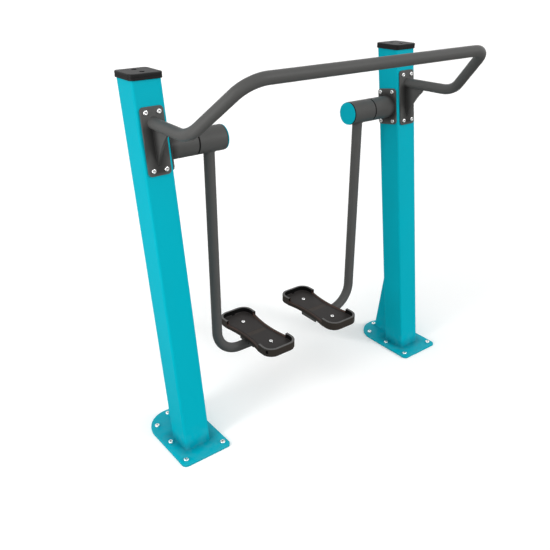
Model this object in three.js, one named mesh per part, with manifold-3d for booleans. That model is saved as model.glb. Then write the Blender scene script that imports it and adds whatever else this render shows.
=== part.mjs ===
// Outdoor air walker: two leaning posts carry a bent handlebar and two foot arms that swing freely.
// Millimetres. +X runs from the left post to the right post, -Y points to the handlebar side, +Z is up.
import * as THREE from 'three';
import * as BufferGeometryUtils from 'three/addons/utils/BufferGeometryUtils.js';
import Module from 'manifold-3d';

const wasm = await Module();
wasm.setup();

// Clearances, the overlap of welded pieces, and the overrun of every cut past the faces that it opens
const seatGap = 0.3;
const holeClearance = 0.5;
const weldDepth = 1;
const overrun = 4;

// Posts, of square tube, leaning back
const postSpacing = 1160;
const postSide = 105;
const postWall = 4;
const postCornerRadius = 8;
const postLeanDegrees = 7.62;
const postTopHeight = 1318.5;

// Moulded post caps, each with a plug that goes into the post and two recesses on top
const capOverhang = 6;
const capHeight = 20;
const capCornerRadius = 16;
const capEdgeRadius = 3;
const capPlugDepth = 28;
const capPlugWall = 4;
const capRecessSpacing = 53;
const capRecessDiameter = 17;
const capRecessDepth = 6;

// Base plates, each with an upright rear brace
const plateThickness = 10;
const plateWidth = 204;
const plateFrontReach = 123;
const plateRearReach = 206;
const plateCornerRadius = 18;
const braceThickness = 8;
const braceHeight = 430;
const braceTip = 3;
const braceAnchorGap = 2;

// Anchor screws through a base plate: three rows of two that draw in towards the rear, and one more behind them
const anchorDiameter = 12;
const anchorHead = 20;
const anchorHeadHeight = 6.5;
const anchorSideInsets = [23, 26, 30.5];
const anchorEndInset = 26;
const anchorRowShares = [0, 0.427, 0.842];

// Handlebar: level arms that splay a little, then inclines that lean in, then the cross bar
const barDiameter = 38;
const barWall = 2.5;
const barArmDrop = 129;
const barArmReach = 126.5;
const barArmSplay = 10;
const barRise = 176.5;
const barReach = 313;
const barInset = 77.5;
const barLowBend = 115;
const barHighBend = 88;

// Bracket that carries the handlebar on the front of a post, its middle lower than the arms
const flangeThickness = 6;
const barFlangeWidth = 82;
const barFlangeHeight = 217;
const barFlangeDrop = 65;
const barFlangeCorner = 13;
const barScrewSideInset = 17.6;
const barScrewEndInset = 17.4;
const gussetThickness = 10;
const gussetReach = 82;
const gussetLength = 30;
const gussetEdge = 5;
const gussetHollow = 9;

// Pivot bracket on the inner side of a post: flange, stub tube, end web and boss
const pivotDrop = 225;
const pivotFlangeWidth = 96;
const pivotFlangeHeight = 144;
const pivotFlangeCorner = 14;
const pivotScrewSideInset = 15.9;
const pivotScrewEndInset = 13.5;
const stubLength = 111.9;
const stubWall = 5;
const stubWebThickness = 12;
const stubBossHeight = 3;
const stubBossWidth = 4;

// Hub that turns in line with the stub, its two bearings and its pin
const hubSeam = 3;
const hubLength = 111;
const hubSeatWall = 8.2;
const hubShoulder = 4;
const bearingBore = 35;
const bearingDiameter = 72;
const bearingWidth = 17;
const bearingRing = 4.5;
const bearingRecess = 1.2;
const pinHeadLip = 6.5;
const pinHeadHeight = 8;
const pinShoulder = 5.5;
const pinNutFlats = 36;
const pinNutHeight = 19;
const pinTail = 4;

// Cap that closes the inboard end of the hub
const hubCapThickness = 3.5;
const hubCapEdge = 1.2;
const hubCapSeam = 2.5;
const hubCapSpigot = 7;
const hubCapWall = 4;

// Foot arm, with the folded saddle that carries the footplate
const armDiameter = 40;
const armWall = 2.5;
const armBend = 103;
const armPastSaddle = 16;
const footTrack = 332.4;
const footForward = 6;
const saddleThickness = 8;
const saddleWidth = 104;
const saddleEnd = 15.5;
const saddleCorner = 12;
const cheekLength = 94;
const cheekDepth = 14;
const cheekThickness = 6;

// Footplate: a waisted tray with a low lip, and high rims round its toe and its heel
const trayFloorHeight = 261;
const trayBase = 14;
const trayLength = 368;
const trayWidth = 150;
const trayWaist = 126;
const trayCorner = 44;
const trayRimReach = 72;
const trayRimHeight = 21;
const trayRimWall = 13;
const trayLipHeight = 4;
const trayLipWidth = 11;

// Screws of the flanges, each with a threaded insert behind the wall of the post
const flangeScrewDiameter = 10;
const flangeScrewHead = 16.5;
const flangeScrewHeadHeight = 5;
const insertDiameter = 15;
const insertLength = 12;

// Screws of the footplates, each with a nut under the saddle
const trayScrewSpacing = 194.7;
const trayScrewDiameter = 8;
const trayScrewHead = 16;
const trayScrewHeadHeight = 4.5;
const trayNutFlats = 13;
const trayNutHeight = 7;
const trayScrewProud = 1.5;

// Shares of a screw head: the size of its socket and the rise of its dome
const socketFlatsShare = 0.36;
const socketFloorShare = 0.45;
const headBrimShare = 0.35;
const headCrownShare = 0.68;

// Facets of round shapes
const tubeSides = 18;
const boreSides = 12;
const hubSides = 32;
const pinSides = 32;
const screwSides = 10;
const bendSteps = 5;
const cornerSteps = 3;
const waistSteps = 6;
const discSteps = 16;

// Sizes and places that follow from the ones above
const lean = THREE.MathUtils.degToRad(postLeanDegrees);
const alongPost = (height) => (height - plateThickness) / Math.cos(lean);
const postX = postSpacing / 2;
const postHalf = postSide / 2;
const flangeFace = postHalf + seatGap + flangeThickness;
const pivotHeight = postTopHeight - pivotDrop;
const pivotUp = alongPost(pivotHeight);
const pivotY = pivotUp * Math.sin(lean);
const barArmHeight = postTopHeight - barArmDrop;
const barFlangeUp = alongPost(barArmHeight - barFlangeDrop);
const barRootY = (barArmHeight - plateThickness) * Math.tan(lean);
const barRadius = barDiameter / 2;
const braceFace = (postHalf + seatGap) / Math.cos(lean);
const hubRadius = bearingDiameter / 2 + seatGap + hubSeatWall;
const hubStartX = postX - postHalf - stubLength - hubSeam;
const hubCapFace = hubLength + hubCapSeam + hubCapThickness;
const armX = hubStartX - hubCapFace / 2;
const armRadius = armDiameter / 2;
const footX = footTrack / 2;
const trayBottom = trayFloorHeight - trayBase;
const saddleBottom = trayBottom - seatGap - saddleThickness;
const armFootHeight = saddleBottom + weldDepth - armRadius;

// Places along the pivot, from the outboard end of the hub towards the middle of the walker
const stubEndAt = -hubSeam;
const bossEndAt = stubEndAt + stubBossHeight;
const outerBearingAt = bossEndAt + seatGap;
const spigotAt = hubLength + hubCapSeam - hubCapSpigot;
const pinHeadAt = spigotAt - seatGap - pinHeadHeight;
const innerBearingAt = pinHeadAt - seatGap - bearingWidth;

// Screw patterns, from the edges of the plates that they go through
const corners = (width, height, sideInset, endInset) => [-1, 1].flatMap((u) => [-1, 1].map((v) =>
  [u * (width / 2 - sideInset), v * (height / 2 - endInset)]));
const barScrews = corners(barFlangeWidth, barFlangeHeight, barScrewSideInset, barScrewEndInset);
const pivotScrews = corners(pivotFlangeWidth, pivotFlangeHeight, pivotScrewSideInset, pivotScrewEndInset);
const trayScrews = [-1, 1].map((end) => [0, end * trayScrewSpacing / 2]);
const anchorFirstY = anchorEndInset - plateFrontReach;
const anchorLastY = plateRearReach - anchorEndInset;
const anchors = anchorRowShares.flatMap((share, row) => [-1, 1].map((u) =>
  [u * (plateWidth / 2 - anchorSideInsets[row]), anchorFirstY + share * (anchorLastY - anchorFirstY)]));
anchors.push([0, anchorLastY]);

const paint = {
  teal: new THREE.MeshStandardMaterial({ color: 0x08abc0, roughness: 0.45, metalness: 0 }),
  grey: new THREE.MeshStandardMaterial({ color: 0x555554, roughness: 0.5, metalness: 0 }),
  black: new THREE.MeshStandardMaterial({ color: 0x1e1e1e, roughness: 0.6, metalness: 0 }),
  rubber: new THREE.MeshStandardMaterial({ color: 0x3a3737, roughness: 0.7, metalness: 0 }),
  bright: new THREE.MeshStandardMaterial({ color: 0xc8cacc, roughness: 0.25, metalness: 1 }),
  steel: new THREE.MeshStandardMaterial({ color: 0x8d9094, roughness: 0.35, metalness: 1 }),
};

// A closed geometry as a solid that can be cut and joined, and back
function toSolid(geometry) {
  const bare = geometry.clone();
  bare.deleteAttribute('normal');
  bare.deleteAttribute('uv');
  const merged = BufferGeometryUtils.mergeVertices(bare);
  return new wasm.Manifold(new wasm.Mesh({
    numProp: 3,
    vertProperties: Float32Array.from(merged.attributes.position.array),
    triVerts: Uint32Array.from(merged.index.array),
  }));
}

function toGeometry(solid) {
  const mesh = solid.getMesh();
  const geometry = new THREE.BufferGeometry();
  geometry.setAttribute('position', new THREE.BufferAttribute(mesh.vertProperties, 3));
  geometry.setIndex(new THREE.BufferAttribute(mesh.triVerts, 1));
  geometry.computeVertexNormals();
  return geometry;
}

const join = (...pieces) => toGeometry(pieces.map(toSolid).reduce((whole, piece) => whole.add(piece)));

const cut = (body, ...tools) => toGeometry(tools.map(toSolid).reduce((rest, tool) => rest.subtract(tool),
  toSolid(body)));

// Points of an arc about a centre, both ends included
function arc(x, y, radius, from, to, steps) {
  return Array.from({ length: steps + 1 }, (_, i) => {
    const angle = from + (to - from) * i / steps;
    return new THREE.Vector2(x + radius * Math.cos(angle), y + radius * Math.sin(angle));
  });
}

const circle = (radius, sides) => arc(0, 0, radius, 0, 2 * Math.PI, sides).slice(1);

// A rectangle about the origin, with round corners
function roundedLoop(width, height, radius) {
  const [x, y, quarter] = [width / 2 - radius, height / 2 - radius, Math.PI / 2];
  return [[x, y], [-x, y], [-x, -y], [x, -y]].flatMap(([cx, cy], i) =>
    arc(cx, cy, radius, i * quarter, (i + 1) * quarter, cornerSteps));
}

// An outline and its holes, extruded along +Z from 0
function slab(loop, depth, holes = []) {
  const shape = new THREE.Shape(loop);
  shape.holes = holes.map((hole) => new THREE.Path(hole));
  return new THREE.ExtrudeGeometry(shape, { depth, bevelEnabled: false });
}

// A profile of [radius, height] pairs turned about Z
function turned(profile, sides) {
  const points = profile.map(([radius, height]) => new THREE.Vector2(radius, height));
  return new THREE.LatheGeometry(points, sides).rotateX(Math.PI / 2);
}

const rod = (radius, from, to, sides = screwSides) =>
  turned([[0, from], [radius, from], [radius, to], [0, to]], sides);

// A hexagonal prism about Z, sized across its flats
function hexagon(flats, from, to) {
  const radius = flats / 2 / Math.cos(Math.PI / 6);
  return new THREE.CylinderGeometry(radius, radius, to - from, 6).rotateX(Math.PI / 2)
    .translate(0, 0, (from + to) / 2);
}

// A closed skin over loops of equal count, from the lowest loop to the highest
function loft(loops) {
  const count = loops[0].length;
  const positions = loops.flat().flatMap((point) => [point.x, point.y, point.z]);
  const index = [];
  for (let loop = 1; loop < loops.length; loop += 1) {
    for (let i = 0; i < count; i += 1) {
      const [low, next] = [(loop - 1) * count + i, (loop - 1) * count + (i + 1) % count];
      index.push(low, next, next + count, low, next + count, low + count);
    }
  }
  const top = (loops.length - 1) * count;
  for (let i = 1; i < count - 1; i += 1) {
    index.push(0, i + 1, i, top, top + i, top + i + 1);
  }
  const geometry = new THREE.BufferGeometry();
  geometry.setAttribute('position', new THREE.Float32BufferAttribute(positions, 3));
  geometry.setIndex(index);
  return geometry;
}

// A centre line of straight runs joined by bends: a station at each end of a run and a few in each bend
class BentLine extends THREE.Curve {
  constructor(vertices, bends) {
    super();
    const runs = vertices.slice(1).map((vertex, i) => vertex.clone().sub(vertices[i]).normalize());
    this.stations = [{ point: vertices[0], tangent: runs[0] }];
    bends.forEach((radius, i) => {
      const [before, after] = [runs[i], runs[i + 1]];
      const turn = before.angleTo(after);
      const axis = before.clone().cross(after).normalize();
      const start = vertices[i + 1].clone().addScaledVector(before, -radius * Math.tan(turn / 2));
      const centre = start.clone().addScaledVector(axis.clone().cross(before), radius);
      for (let step = 0; step <= bendSteps; step += 1) {
        const angle = turn * step / bendSteps;
        const point = start.clone().sub(centre).applyAxisAngle(axis, angle).add(centre);
        this.stations.push({ point, tangent: before.clone().applyAxisAngle(axis, angle) });
      }
    });
    this.stations.push({ point: vertices.at(-1), tangent: runs.at(-1) });
  }

  getUtoTmapping(u) {
    return u;
  }

  station(t) {
    return this.stations[Math.round(t * (this.stations.length - 1))];
  }

  getPoint(t, target = new THREE.Vector3()) {
    return target.copy(this.station(t).point);
  }

  getTangent(t, target = new THREE.Vector3()) {
    return target.copy(this.station(t).tangent);
  }

  sweep(loop, hole) {
    const shape = new THREE.Shape(loop);
    if (hole) shape.holes = [new THREE.Path(hole)];
    return new THREE.ExtrudeGeometry(shape, { steps: this.stations.length - 1, extrudePath: this });
  }
}

// Rods along Z, one at each place of a pattern
const drills = (places, radius, from, to) => places.map(([u, v]) => rod(radius, from, to).translate(u, v, 0));

// The frame of a post: its origin on the base plate and its Z up along the post
const postFrame = (side) => new THREE.Matrix4().makeTranslation(side * postX, 0, plateThickness)
  .multiply(new THREE.Matrix4().makeRotationX(-lean));

// Turns what is drawn towards +Z so that it faces out of the front, or the inner side, of a post
const toFront = (geometry) => geometry.rotateX(Math.PI / 2).translate(0, 0, barFlangeUp);
const toInner = (geometry, side) => geometry.rotateZ(Math.PI / 2).rotateY(-side * Math.PI / 2)
  .translate(0, 0, pivotUp);

// Square tube with level ends, sheared back, and the screw holes of both flanges
function postGeometry(side) {
  const bore = postSide - 2 * postWall;
  const boreCorner = Math.max(postCornerRadius - postWall, seatGap);
  const height = postTopHeight - plateThickness - 2 * seatGap;
  const shear = new THREE.Matrix4().makeShear(0, 0, 0, 0, 0, Math.tan(lean));
  const hollow = roundedLoop(bore, bore, boreCorner);
  const tube = slab(roundedLoop(postSide, postSide, postCornerRadius), height, [hollow])
    .scale(1, 1 / Math.cos(lean), 1).translate(0, 0, seatGap).applyMatrix4(shear);
  const radius = flangeScrewDiameter / 2 + holeClearance;
  const [from, to] = [postHalf - postWall - overrun, postHalf + overrun];
  const front = drills(barScrews, radius, from, to).map(toFront);
  const inner = drills(pivotScrews, radius, from, to).map((drill) => toInner(drill, side));
  return cut(tube, ...[...front, ...inner].map((drill) => drill.rotateX(-lean)));
}

function capGeometry() {
  const width = postSide + 2 * capOverhang;
  const shoulder = capEdgeRadius * (1 - Math.SQRT1_2);
  const rings = [
    [0, 0],
    [0, capHeight - capEdgeRadius],
    [shoulder, capHeight - shoulder],
    [capEdgeRadius, capHeight],
  ];
  const crown = loft(rings.map(([inset, height]) =>
    roundedLoop(width - 2 * inset, width - 2 * inset, capCornerRadius - inset)
      .map((point) => new THREE.Vector3(point.x, point.y, height))));
  const plugWidth = postSide - 2 * (postWall + seatGap);
  const hollow = plugWidth - 2 * capPlugWall;
  const corner = Math.max(postCornerRadius - postWall, seatGap);
  const plug = slab(roundedLoop(plugWidth, plugWidth, corner), capPlugDepth + weldDepth,
    [roundedLoop(hollow, hollow, corner)])
    .scale(1, 1 / Math.cos(lean), 1).translate(0, 0, -capPlugDepth)
    .applyMatrix4(new THREE.Matrix4().makeShear(0, 0, 0, 0, 0, Math.tan(lean)));
  const floor = capHeight - capRecessDepth;
  const recesses = [-1, 1].map((end) => rod(capRecessDiameter / 2, floor, capHeight + overrun)
    .translate(0, end * capRecessSpacing / 2, 0));
  return cut(join(crown, plug), ...recesses);
}

// Plate, straight in front and half round behind, with the brace welded on behind the post
function basePlateGeometry() {
  const half = plateWidth / 2;
  const [cornerX, cornerY] = [half - plateCornerRadius, plateCornerRadius - plateFrontReach];
  const quarter = Math.PI / 2;
  const plate = slab([
    ...arc(0, plateRearReach - half, half, 0, 2 * quarter, discSteps),
    ...arc(-cornerX, cornerY, plateCornerRadius, 2 * quarter, 3 * quarter, cornerSteps),
    ...arc(cornerX, cornerY, plateCornerRadius, 3 * quarter, 4 * quarter, cornerSteps),
  ], plateThickness);
  const foot = anchorLastY - anchorHead / 2 - braceAnchorGap;
  const tip = braceFace + braceHeight * Math.tan(lean);
  const brace = slab([
    [braceFace - weldDepth * Math.tan(lean), -weldDepth],
    [foot, -weldDepth],
    [foot, 0],
    [tip + braceTip, braceHeight],
    [tip, braceHeight],
  ].map(([y, z]) => new THREE.Vector2(y, z)), braceThickness);
  brace.translate(0, 0, -braceThickness / 2).rotateX(Math.PI / 2).rotateZ(Math.PI / 2)
    .translate(0, 0, plateThickness);
  const radius = anchorDiameter / 2 + holeClearance;
  return cut(join(plate, brace), ...drills(anchors, radius, -overrun, plateThickness + overrun));
}

// The domed head of a screw above 0, with its hexagonal socket, on a shank that ends below 0
function screwGeometry(diameter, head, height, shank, end) {
  const radius = head / 2;
  const body = turned([
    ...shank,
    [diameter / 2, 0],
    [radius, 0],
    [radius, height * headBrimShare],
    [radius * headCrownShare, height],
    [0, height],
  ], screwSides);
  const socket = hexagon(head * socketFlatsShare, height * socketFloorShare, height + overrun);
  return cut(end ? join(body, end) : body, socket);
}

function flangeScrewGeometry() {
  const wall = flangeThickness + postWall + 3 * seatGap;
  const shank = [
    [0, -wall - insertLength],
    [insertDiameter / 2, -wall - insertLength],
    [insertDiameter / 2, -wall],
    [flangeScrewDiameter / 2, -wall],
  ];
  return screwGeometry(flangeScrewDiameter, flangeScrewHead, flangeScrewHeadHeight, shank);
}

// Anchor screw, cut off at the underside of the plate
function anchorGeometry() {
  const end = -plateThickness - seatGap;
  return screwGeometry(anchorDiameter, anchorHead, anchorHeadHeight, [[0, end], [anchorDiameter / 2, end]]);
}

function trayScrewGeometry() {
  const grip = trayBase + saddleThickness + 3 * seatGap;
  const end = grip + trayNutHeight + trayScrewProud;
  const nut = hexagon(trayNutFlats, -grip - trayNutHeight, -grip);
  return screwGeometry(trayScrewDiameter, trayScrewHead, trayScrewHeadHeight,
    [[0, -end], [trayScrewDiameter / 2, -end]], nut);
}

function barLine() {
  const arm = (side) => [
    new THREE.Vector3(side * postX, barRootY, barArmHeight),
    new THREE.Vector3(side * (postX + barArmSplay), -barArmReach, barArmHeight),
    new THREE.Vector3(side * (postX - barInset), -barReach, barArmHeight + barRise),
  ];
  return new BentLine([...arm(-1), ...arm(1).reverse()], [barLowBend, barHighBend, barHighBend, barLowBend]);
}

// One bent tube, mitred to both flanges
function handlebarGeometry() {
  const tube = barLine().sweep(circle(barRadius, tubeSides), circle(barRadius - barWall, boreSides));
  const mitres = [-1, 1].map((side) => new THREE.BoxGeometry(2 * postSide, 2 * postSide, 2 * postTopHeight)
    .translate(0, postSide - flangeFace - seatGap, 0).applyMatrix4(postFrame(side)));
  return cut(tube, ...mitres);
}

// Flange and the gusset that carries the bar, in the frame of the post
function barBracketGeometry(side) {
  const flange = toFront(slab(roundedLoop(barFlangeWidth, barFlangeHeight, barFlangeCorner), flangeThickness)
    .translate(0, 0, postHalf + seatGap));
  const toLocal = postFrame(side).invert();
  const [inner, outer] = [barRootY, -barArmReach].map((y) =>
    new THREE.Vector3(side * postX, y, barArmHeight).applyMatrix4(toLocal));
  const axisUp = (reach) => inner.z + (outer.z - inner.z) * (-reach - inner.y) / (outer.y - inner.y);
  const outerEnd = flangeFace + gussetReach;
  const heel = new THREE.Vector2(outerEnd, axisUp(outerEnd) - barRadius - gussetEdge);
  const toe = new THREE.Vector2(flangeFace, barFlangeUp - barFlangeHeight / 2 + gussetLength);
  const middle = heel.clone().add(toe).divideScalar(2);
  const bulge = toe.clone().sub(heel).rotateAround(new THREE.Vector2(), -Math.PI / 2)
    .setLength(2 * gussetHollow).add(middle);
  const gusset = slab([
    new THREE.Vector2(flangeFace - weldDepth, toe.y),
    ...new THREE.QuadraticBezierCurve(toe, bulge, heel).getPoints(bendSteps),
    new THREE.Vector2(outerEnd, axisUp(outerEnd)),
    new THREE.Vector2(flangeFace - weldDepth, axisUp(flangeFace)),
  ], gussetThickness);
  gusset.translate(0, 0, -gussetThickness / 2).rotateX(Math.PI / 2).rotateZ(-Math.PI / 2);
  const bar = barLine().sweep(circle(barRadius + seatGap, tubeSides)).applyMatrix4(toLocal);
  const radius = flangeScrewDiameter / 2 + holeClearance;
  const holes = drills(barScrews, radius, postHalf - overrun, flangeFace + overrun).map(toFront);
  return cut(join(flange, cut(gusset, bar)), ...holes);
}

// Flange, stub and web of one casting, drawn from the inner side of the post
function pivotBracketGeometry(side) {
  const bore = hubRadius - stubWall;
  const web = stubLength - stubWebThickness;
  const boss = bearingBore / 2 + stubBossWidth;
  const bossEnd = stubLength + stubBossHeight;
  const pinBore = bearingBore / 2 - pinShoulder + holeClearance;
  const flange = slab(roundedLoop(pivotFlangeWidth, pivotFlangeHeight, pivotFlangeCorner), flangeThickness,
    [circle(bore + stubWall / 2, hubSides)]).translate(0, 0, seatGap);
  const stub = turned([
    [bore, seatGap],
    [hubRadius, seatGap],
    [hubRadius, stubLength],
    [boss, stubLength],
    [boss, bossEnd],
    [pinBore, bossEnd],
    [pinBore, web],
    [bore, web],
    [bore, seatGap],
  ], hubSides);
  const radius = flangeScrewDiameter / 2 + holeClearance;
  const holes = drills(pivotScrews, radius, -overrun, flangeThickness + overrun);
  return toInner(cut(join(flange, stub), ...holes).translate(0, 0, postHalf), side);
}

// Hub tube, bored out at each end for a bearing
function hubGeometry() {
  const seat = bearingDiameter / 2 + seatGap;
  const bore = seat - hubShoulder;
  const outerShoulder = outerBearingAt + bearingWidth + seatGap;
  const innerShoulder = innerBearingAt - seatGap;
  return turned([
    [seat, 0],
    [hubRadius, 0],
    [hubRadius, hubLength],
    [seat, hubLength],
    [seat, innerShoulder],
    [bore, innerShoulder],
    [bore, outerShoulder],
    [seat, outerShoulder],
    [seat, 0],
  ], hubSides);
}

// Sealed ball bearing, its shields set back between the two rings
function bearingGeometry() {
  const [inner, outer] = [bearingBore / 2 + seatGap, bearingDiameter / 2];
  return turned([
    [inner, 0],
    [inner + bearingRing, 0],
    [inner + bearingRing, bearingRecess],
    [outer - bearingRing, bearingRecess],
    [outer - bearingRing, 0],
    [outer, 0],
    [outer, bearingWidth],
    [outer - bearingRing, bearingWidth],
    [outer - bearingRing, bearingWidth - bearingRecess],
    [inner + bearingRing, bearingWidth - bearingRecess],
    [inner + bearingRing, bearingWidth],
    [inner, bearingWidth],
    [inner, 0],
  ], pinSides);
}

// Headed pin through both bearings and the web, with its nut inside the stub
function pinGeometry() {
  const radius = bearingBore / 2;
  const thread = radius - pinShoulder;
  const nutEnd = stubEndAt - stubWebThickness - seatGap;
  const nutStart = nutEnd - pinNutHeight;
  const pin = turned([
    [0, nutStart - pinTail],
    [thread, nutStart - pinTail],
    [thread, outerBearingAt],
    [radius, outerBearingAt],
    [radius, pinHeadAt],
    [radius + pinHeadLip, pinHeadAt],
    [radius + pinHeadLip, pinHeadAt + pinHeadHeight],
    [0, pinHeadAt + pinHeadHeight],
  ], pinSides);
  return join(pin, hexagon(pinNutFlats, nutStart, nutEnd));
}

// Flat disc on a spigot that plugs the hub
function hubCapGeometry() {
  const face = hubLength + hubCapSeam;
  const spigot = bearingDiameter / 2;
  return turned([
    [0, face],
    [spigot - hubCapWall, face],
    [spigot - hubCapWall, spigotAt],
    [spigot, spigotAt],
    [spigot, face],
    [hubRadius - hubCapEdge, face],
    [hubRadius - hubCapEdge, hubCapFace - hubCapEdge],
    [hubRadius - 2 * hubCapEdge, hubCapFace],
    [0, hubCapFace],
  ], hubSides);
}

// Bent tube, cut to the hub at its top, with the saddle welded on its foot, in the frame of the pivot
function footArmGeometry(side) {
  const saddleX = side * (footX - armX);
  const line = new BentLine([
    new THREE.Vector3(0, 0, 2 * overrun - hubRadius),
    new THREE.Vector3(0, 0, armFootHeight - pivotHeight),
    new THREE.Vector3(saddleX - side * armPastSaddle, 0, armFootHeight - pivotHeight),
  ], [armBend]);
  const core = circle(armRadius - armWall, boreSides);
  const hub = rod(hubRadius + seatGap, -hubLength, hubLength, hubSides).rotateY(Math.PI / 2);
  const tube = cut(line.sweep(circle(armRadius, tubeSides), core), hub);
  const saddleLength = trayScrewSpacing + 2 * saddleEnd;
  const plate = slab(roundedLoop(saddleWidth, saddleLength, saddleCorner), saddleThickness);
  const fold = cheekDepth + weldDepth;
  const cheeks = [-1, 1].map((way) => new THREE.BoxGeometry(cheekThickness, cheekLength, fold)
    .translate(way * (saddleWidth - cheekThickness) / 2, 0, weldDepth - fold / 2));
  const radius = trayScrewDiameter / 2 + holeClearance;
  const holes = drills(trayScrews, radius, -overrun, saddleThickness + overrun);
  const saddle = cut(join(plate, ...cheeks), ...holes)
    .translate(saddleX, -footForward, saddleBottom - pivotHeight);
  return join(tube, cut(saddle, line.sweep(core)));
}

// Outline of the tray, drawn in by an inset: round corners, straight sides at the rims and a hollow waist
function trayLoop(inset) {
  const [half, length] = [trayWidth / 2 - inset, trayLength / 2 - inset];
  const corner = Math.max(trayCorner - inset, seatGap);
  const straight = trayLength / 2 - trayRimReach;
  const hollow = (trayWidth - trayWaist) / 2;
  const bow = (straight ** 2 + hollow ** 2) / (2 * hollow);
  const sweep = Math.asin(straight / bow);
  const centre = half - hollow + bow;
  const quarter = Math.PI / 2;
  return [
    ...arc(centre, 0, bow, 2 * quarter + sweep, 2 * quarter - sweep, waistSteps),
    ...arc(half - corner, length - corner, corner, 0, quarter, cornerSteps),
    ...arc(corner - half, length - corner, corner, quarter, 2 * quarter, cornerSteps),
    ...arc(-centre, 0, bow, sweep, -sweep, waistSteps),
    ...arc(corner - half, corner - length, corner, 2 * quarter, 3 * quarter, cornerSteps),
    ...arc(half - corner, corner - length, corner, 3 * quarter, 4 * quarter, cornerSteps),
  ];
}

// Footplate, its underside at 0
function footplateGeometry() {
  const lip = trayBase + trayLipHeight;
  const rim = trayBase + trayRimHeight;
  const layer = (inset, from, to) => slab(trayLoop(inset), to - from).translate(0, 0, from);
  const base = cut(layer(0, 0, lip), layer(trayLipWidth, trayBase, lip + overrun));
  const wall = cut(layer(0, trayBase, rim), layer(trayRimWall, trayBase - overrun, rim + overrun));
  const waist = new THREE.BoxGeometry(2 * trayWidth, trayLength - 2 * trayRimReach, 2 * (rim + overrun));
  const holes = drills(trayScrews, trayScrewDiameter / 2 + holeClearance, -overrun, trayBase + overrun);
  return cut(join(base, cut(wall, waist)), ...holes);
}

// The scene: a mesh for each piece, and a group for each frame that pieces share
function addPiece(parent, name, geometry, material, x = 0, y = 0, z = 0) {
  const mesh = new THREE.Mesh(geometry, material);
  mesh.name = name;
  mesh.position.set(x, y, z);
  parent.add(mesh);
  return mesh;
}

function addFrame(parent, x, y, z) {
  const frame = new THREE.Group();
  frame.position.set(x, y, z);
  parent.add(frame);
  return frame;
}

const walker = new THREE.Group();
const shared = {
  cap: capGeometry(),
  basePlate: basePlateGeometry(),
  anchor: anchorGeometry(),
  flangeScrew: flangeScrewGeometry(),
  trayScrew: trayScrewGeometry(),
  hub: hubGeometry(),
  bearing: bearingGeometry(),
  pin: pinGeometry(),
  hubCap: hubCapGeometry(),
  footplate: footplateGeometry(),
};

function addPost(side, label) {
  const foot = addFrame(walker, side * postX, 0, 0);
  const top = postTopHeight - plateThickness;
  addPiece(foot, `${label}_base_plate`, shared.basePlate, paint.teal);
  anchors.forEach(([x, y], i) => {
    addPiece(foot, `${label}_anchor_${i + 1}`, shared.anchor, paint.bright, x, y, plateThickness + seatGap);
  });
  addPiece(foot, `${label}_post`, postGeometry(side), paint.teal, 0, 0, plateThickness);
  addPiece(foot, `${label}_post_cap`, shared.cap, paint.black, 0, top * Math.tan(lean), postTopHeight);
}

function addBrackets(side, label) {
  const upright = addFrame(walker, side * postX, 0, plateThickness);
  upright.rotation.x = -lean;
  addPiece(upright, `${label}_bar_bracket`, barBracketGeometry(side), paint.grey);
  addPiece(upright, `${label}_pivot_bracket`, pivotBracketGeometry(side), paint.grey);
  const seat = flangeFace + seatGap;
  barScrews.forEach(([u, v], i) => {
    const screw = addPiece(upright, `${label}_bar_screw_${i + 1}`, shared.flangeScrew, paint.bright,
      u, -seat, barFlangeUp + v);
    screw.rotation.x = Math.PI / 2;
  });
  pivotScrews.forEach(([u, v], i) => {
    const screw = addPiece(upright, `${label}_pivot_screw_${i + 1}`, shared.flangeScrew, paint.bright,
      -side * seat, u, pivotUp + v);
    screw.rotation.y = -side * Math.PI / 2;
  });
}

function addLeg(side, label) {
  const axle = addFrame(walker, side * hubStartX, pivotY, pivotHeight);
  axle.rotation.y = -side * Math.PI / 2;
  addPiece(axle, `${label}_pivot_pin`, shared.pin, paint.steel);
  addPiece(axle, `${label}_outer_bearing`, shared.bearing, paint.steel, 0, 0, outerBearingAt);
  addPiece(axle, `${label}_inner_bearing`, shared.bearing, paint.steel, 0, 0, innerBearingAt);
  addPiece(axle, `${label}_hub`, shared.hub, paint.grey);
  addPiece(axle, `${label}_hub_cap`, shared.hubCap, paint.teal);
  addPiece(walker, `${label}_foot_arm`, footArmGeometry(side), paint.grey, side * armX, pivotY, pivotHeight);
  const foot = addFrame(walker, side * footX, pivotY - footForward, trayBottom);
  addPiece(foot, `${label}_footplate`, shared.footplate, paint.rubber);
  trayScrews.forEach(([x, y], i) => {
    addPiece(foot, `${label}_foot_screw_${i + 1}`, shared.trayScrew, paint.bright, x, y, trayBase + seatGap);
  });
}

[[-1, 'left'], [1, 'right']].forEach(([side, label]) => {
  addPost(side, label);
  addBrackets(side, label);
  addLeg(side, label);
});
addPiece(walker, 'handlebar', handlebarGeometry(), paint.grey);

// The origin is on the ground, in the middle of the whole
const model = new THREE.Group();
model.add(walker);
walker.position.y = -new THREE.Box3().setFromObject(walker, true).getCenter(new THREE.Vector3()).y;

export default model;
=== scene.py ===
import math

import bmesh
import bpy
from mathutils import Matrix, Vector


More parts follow.
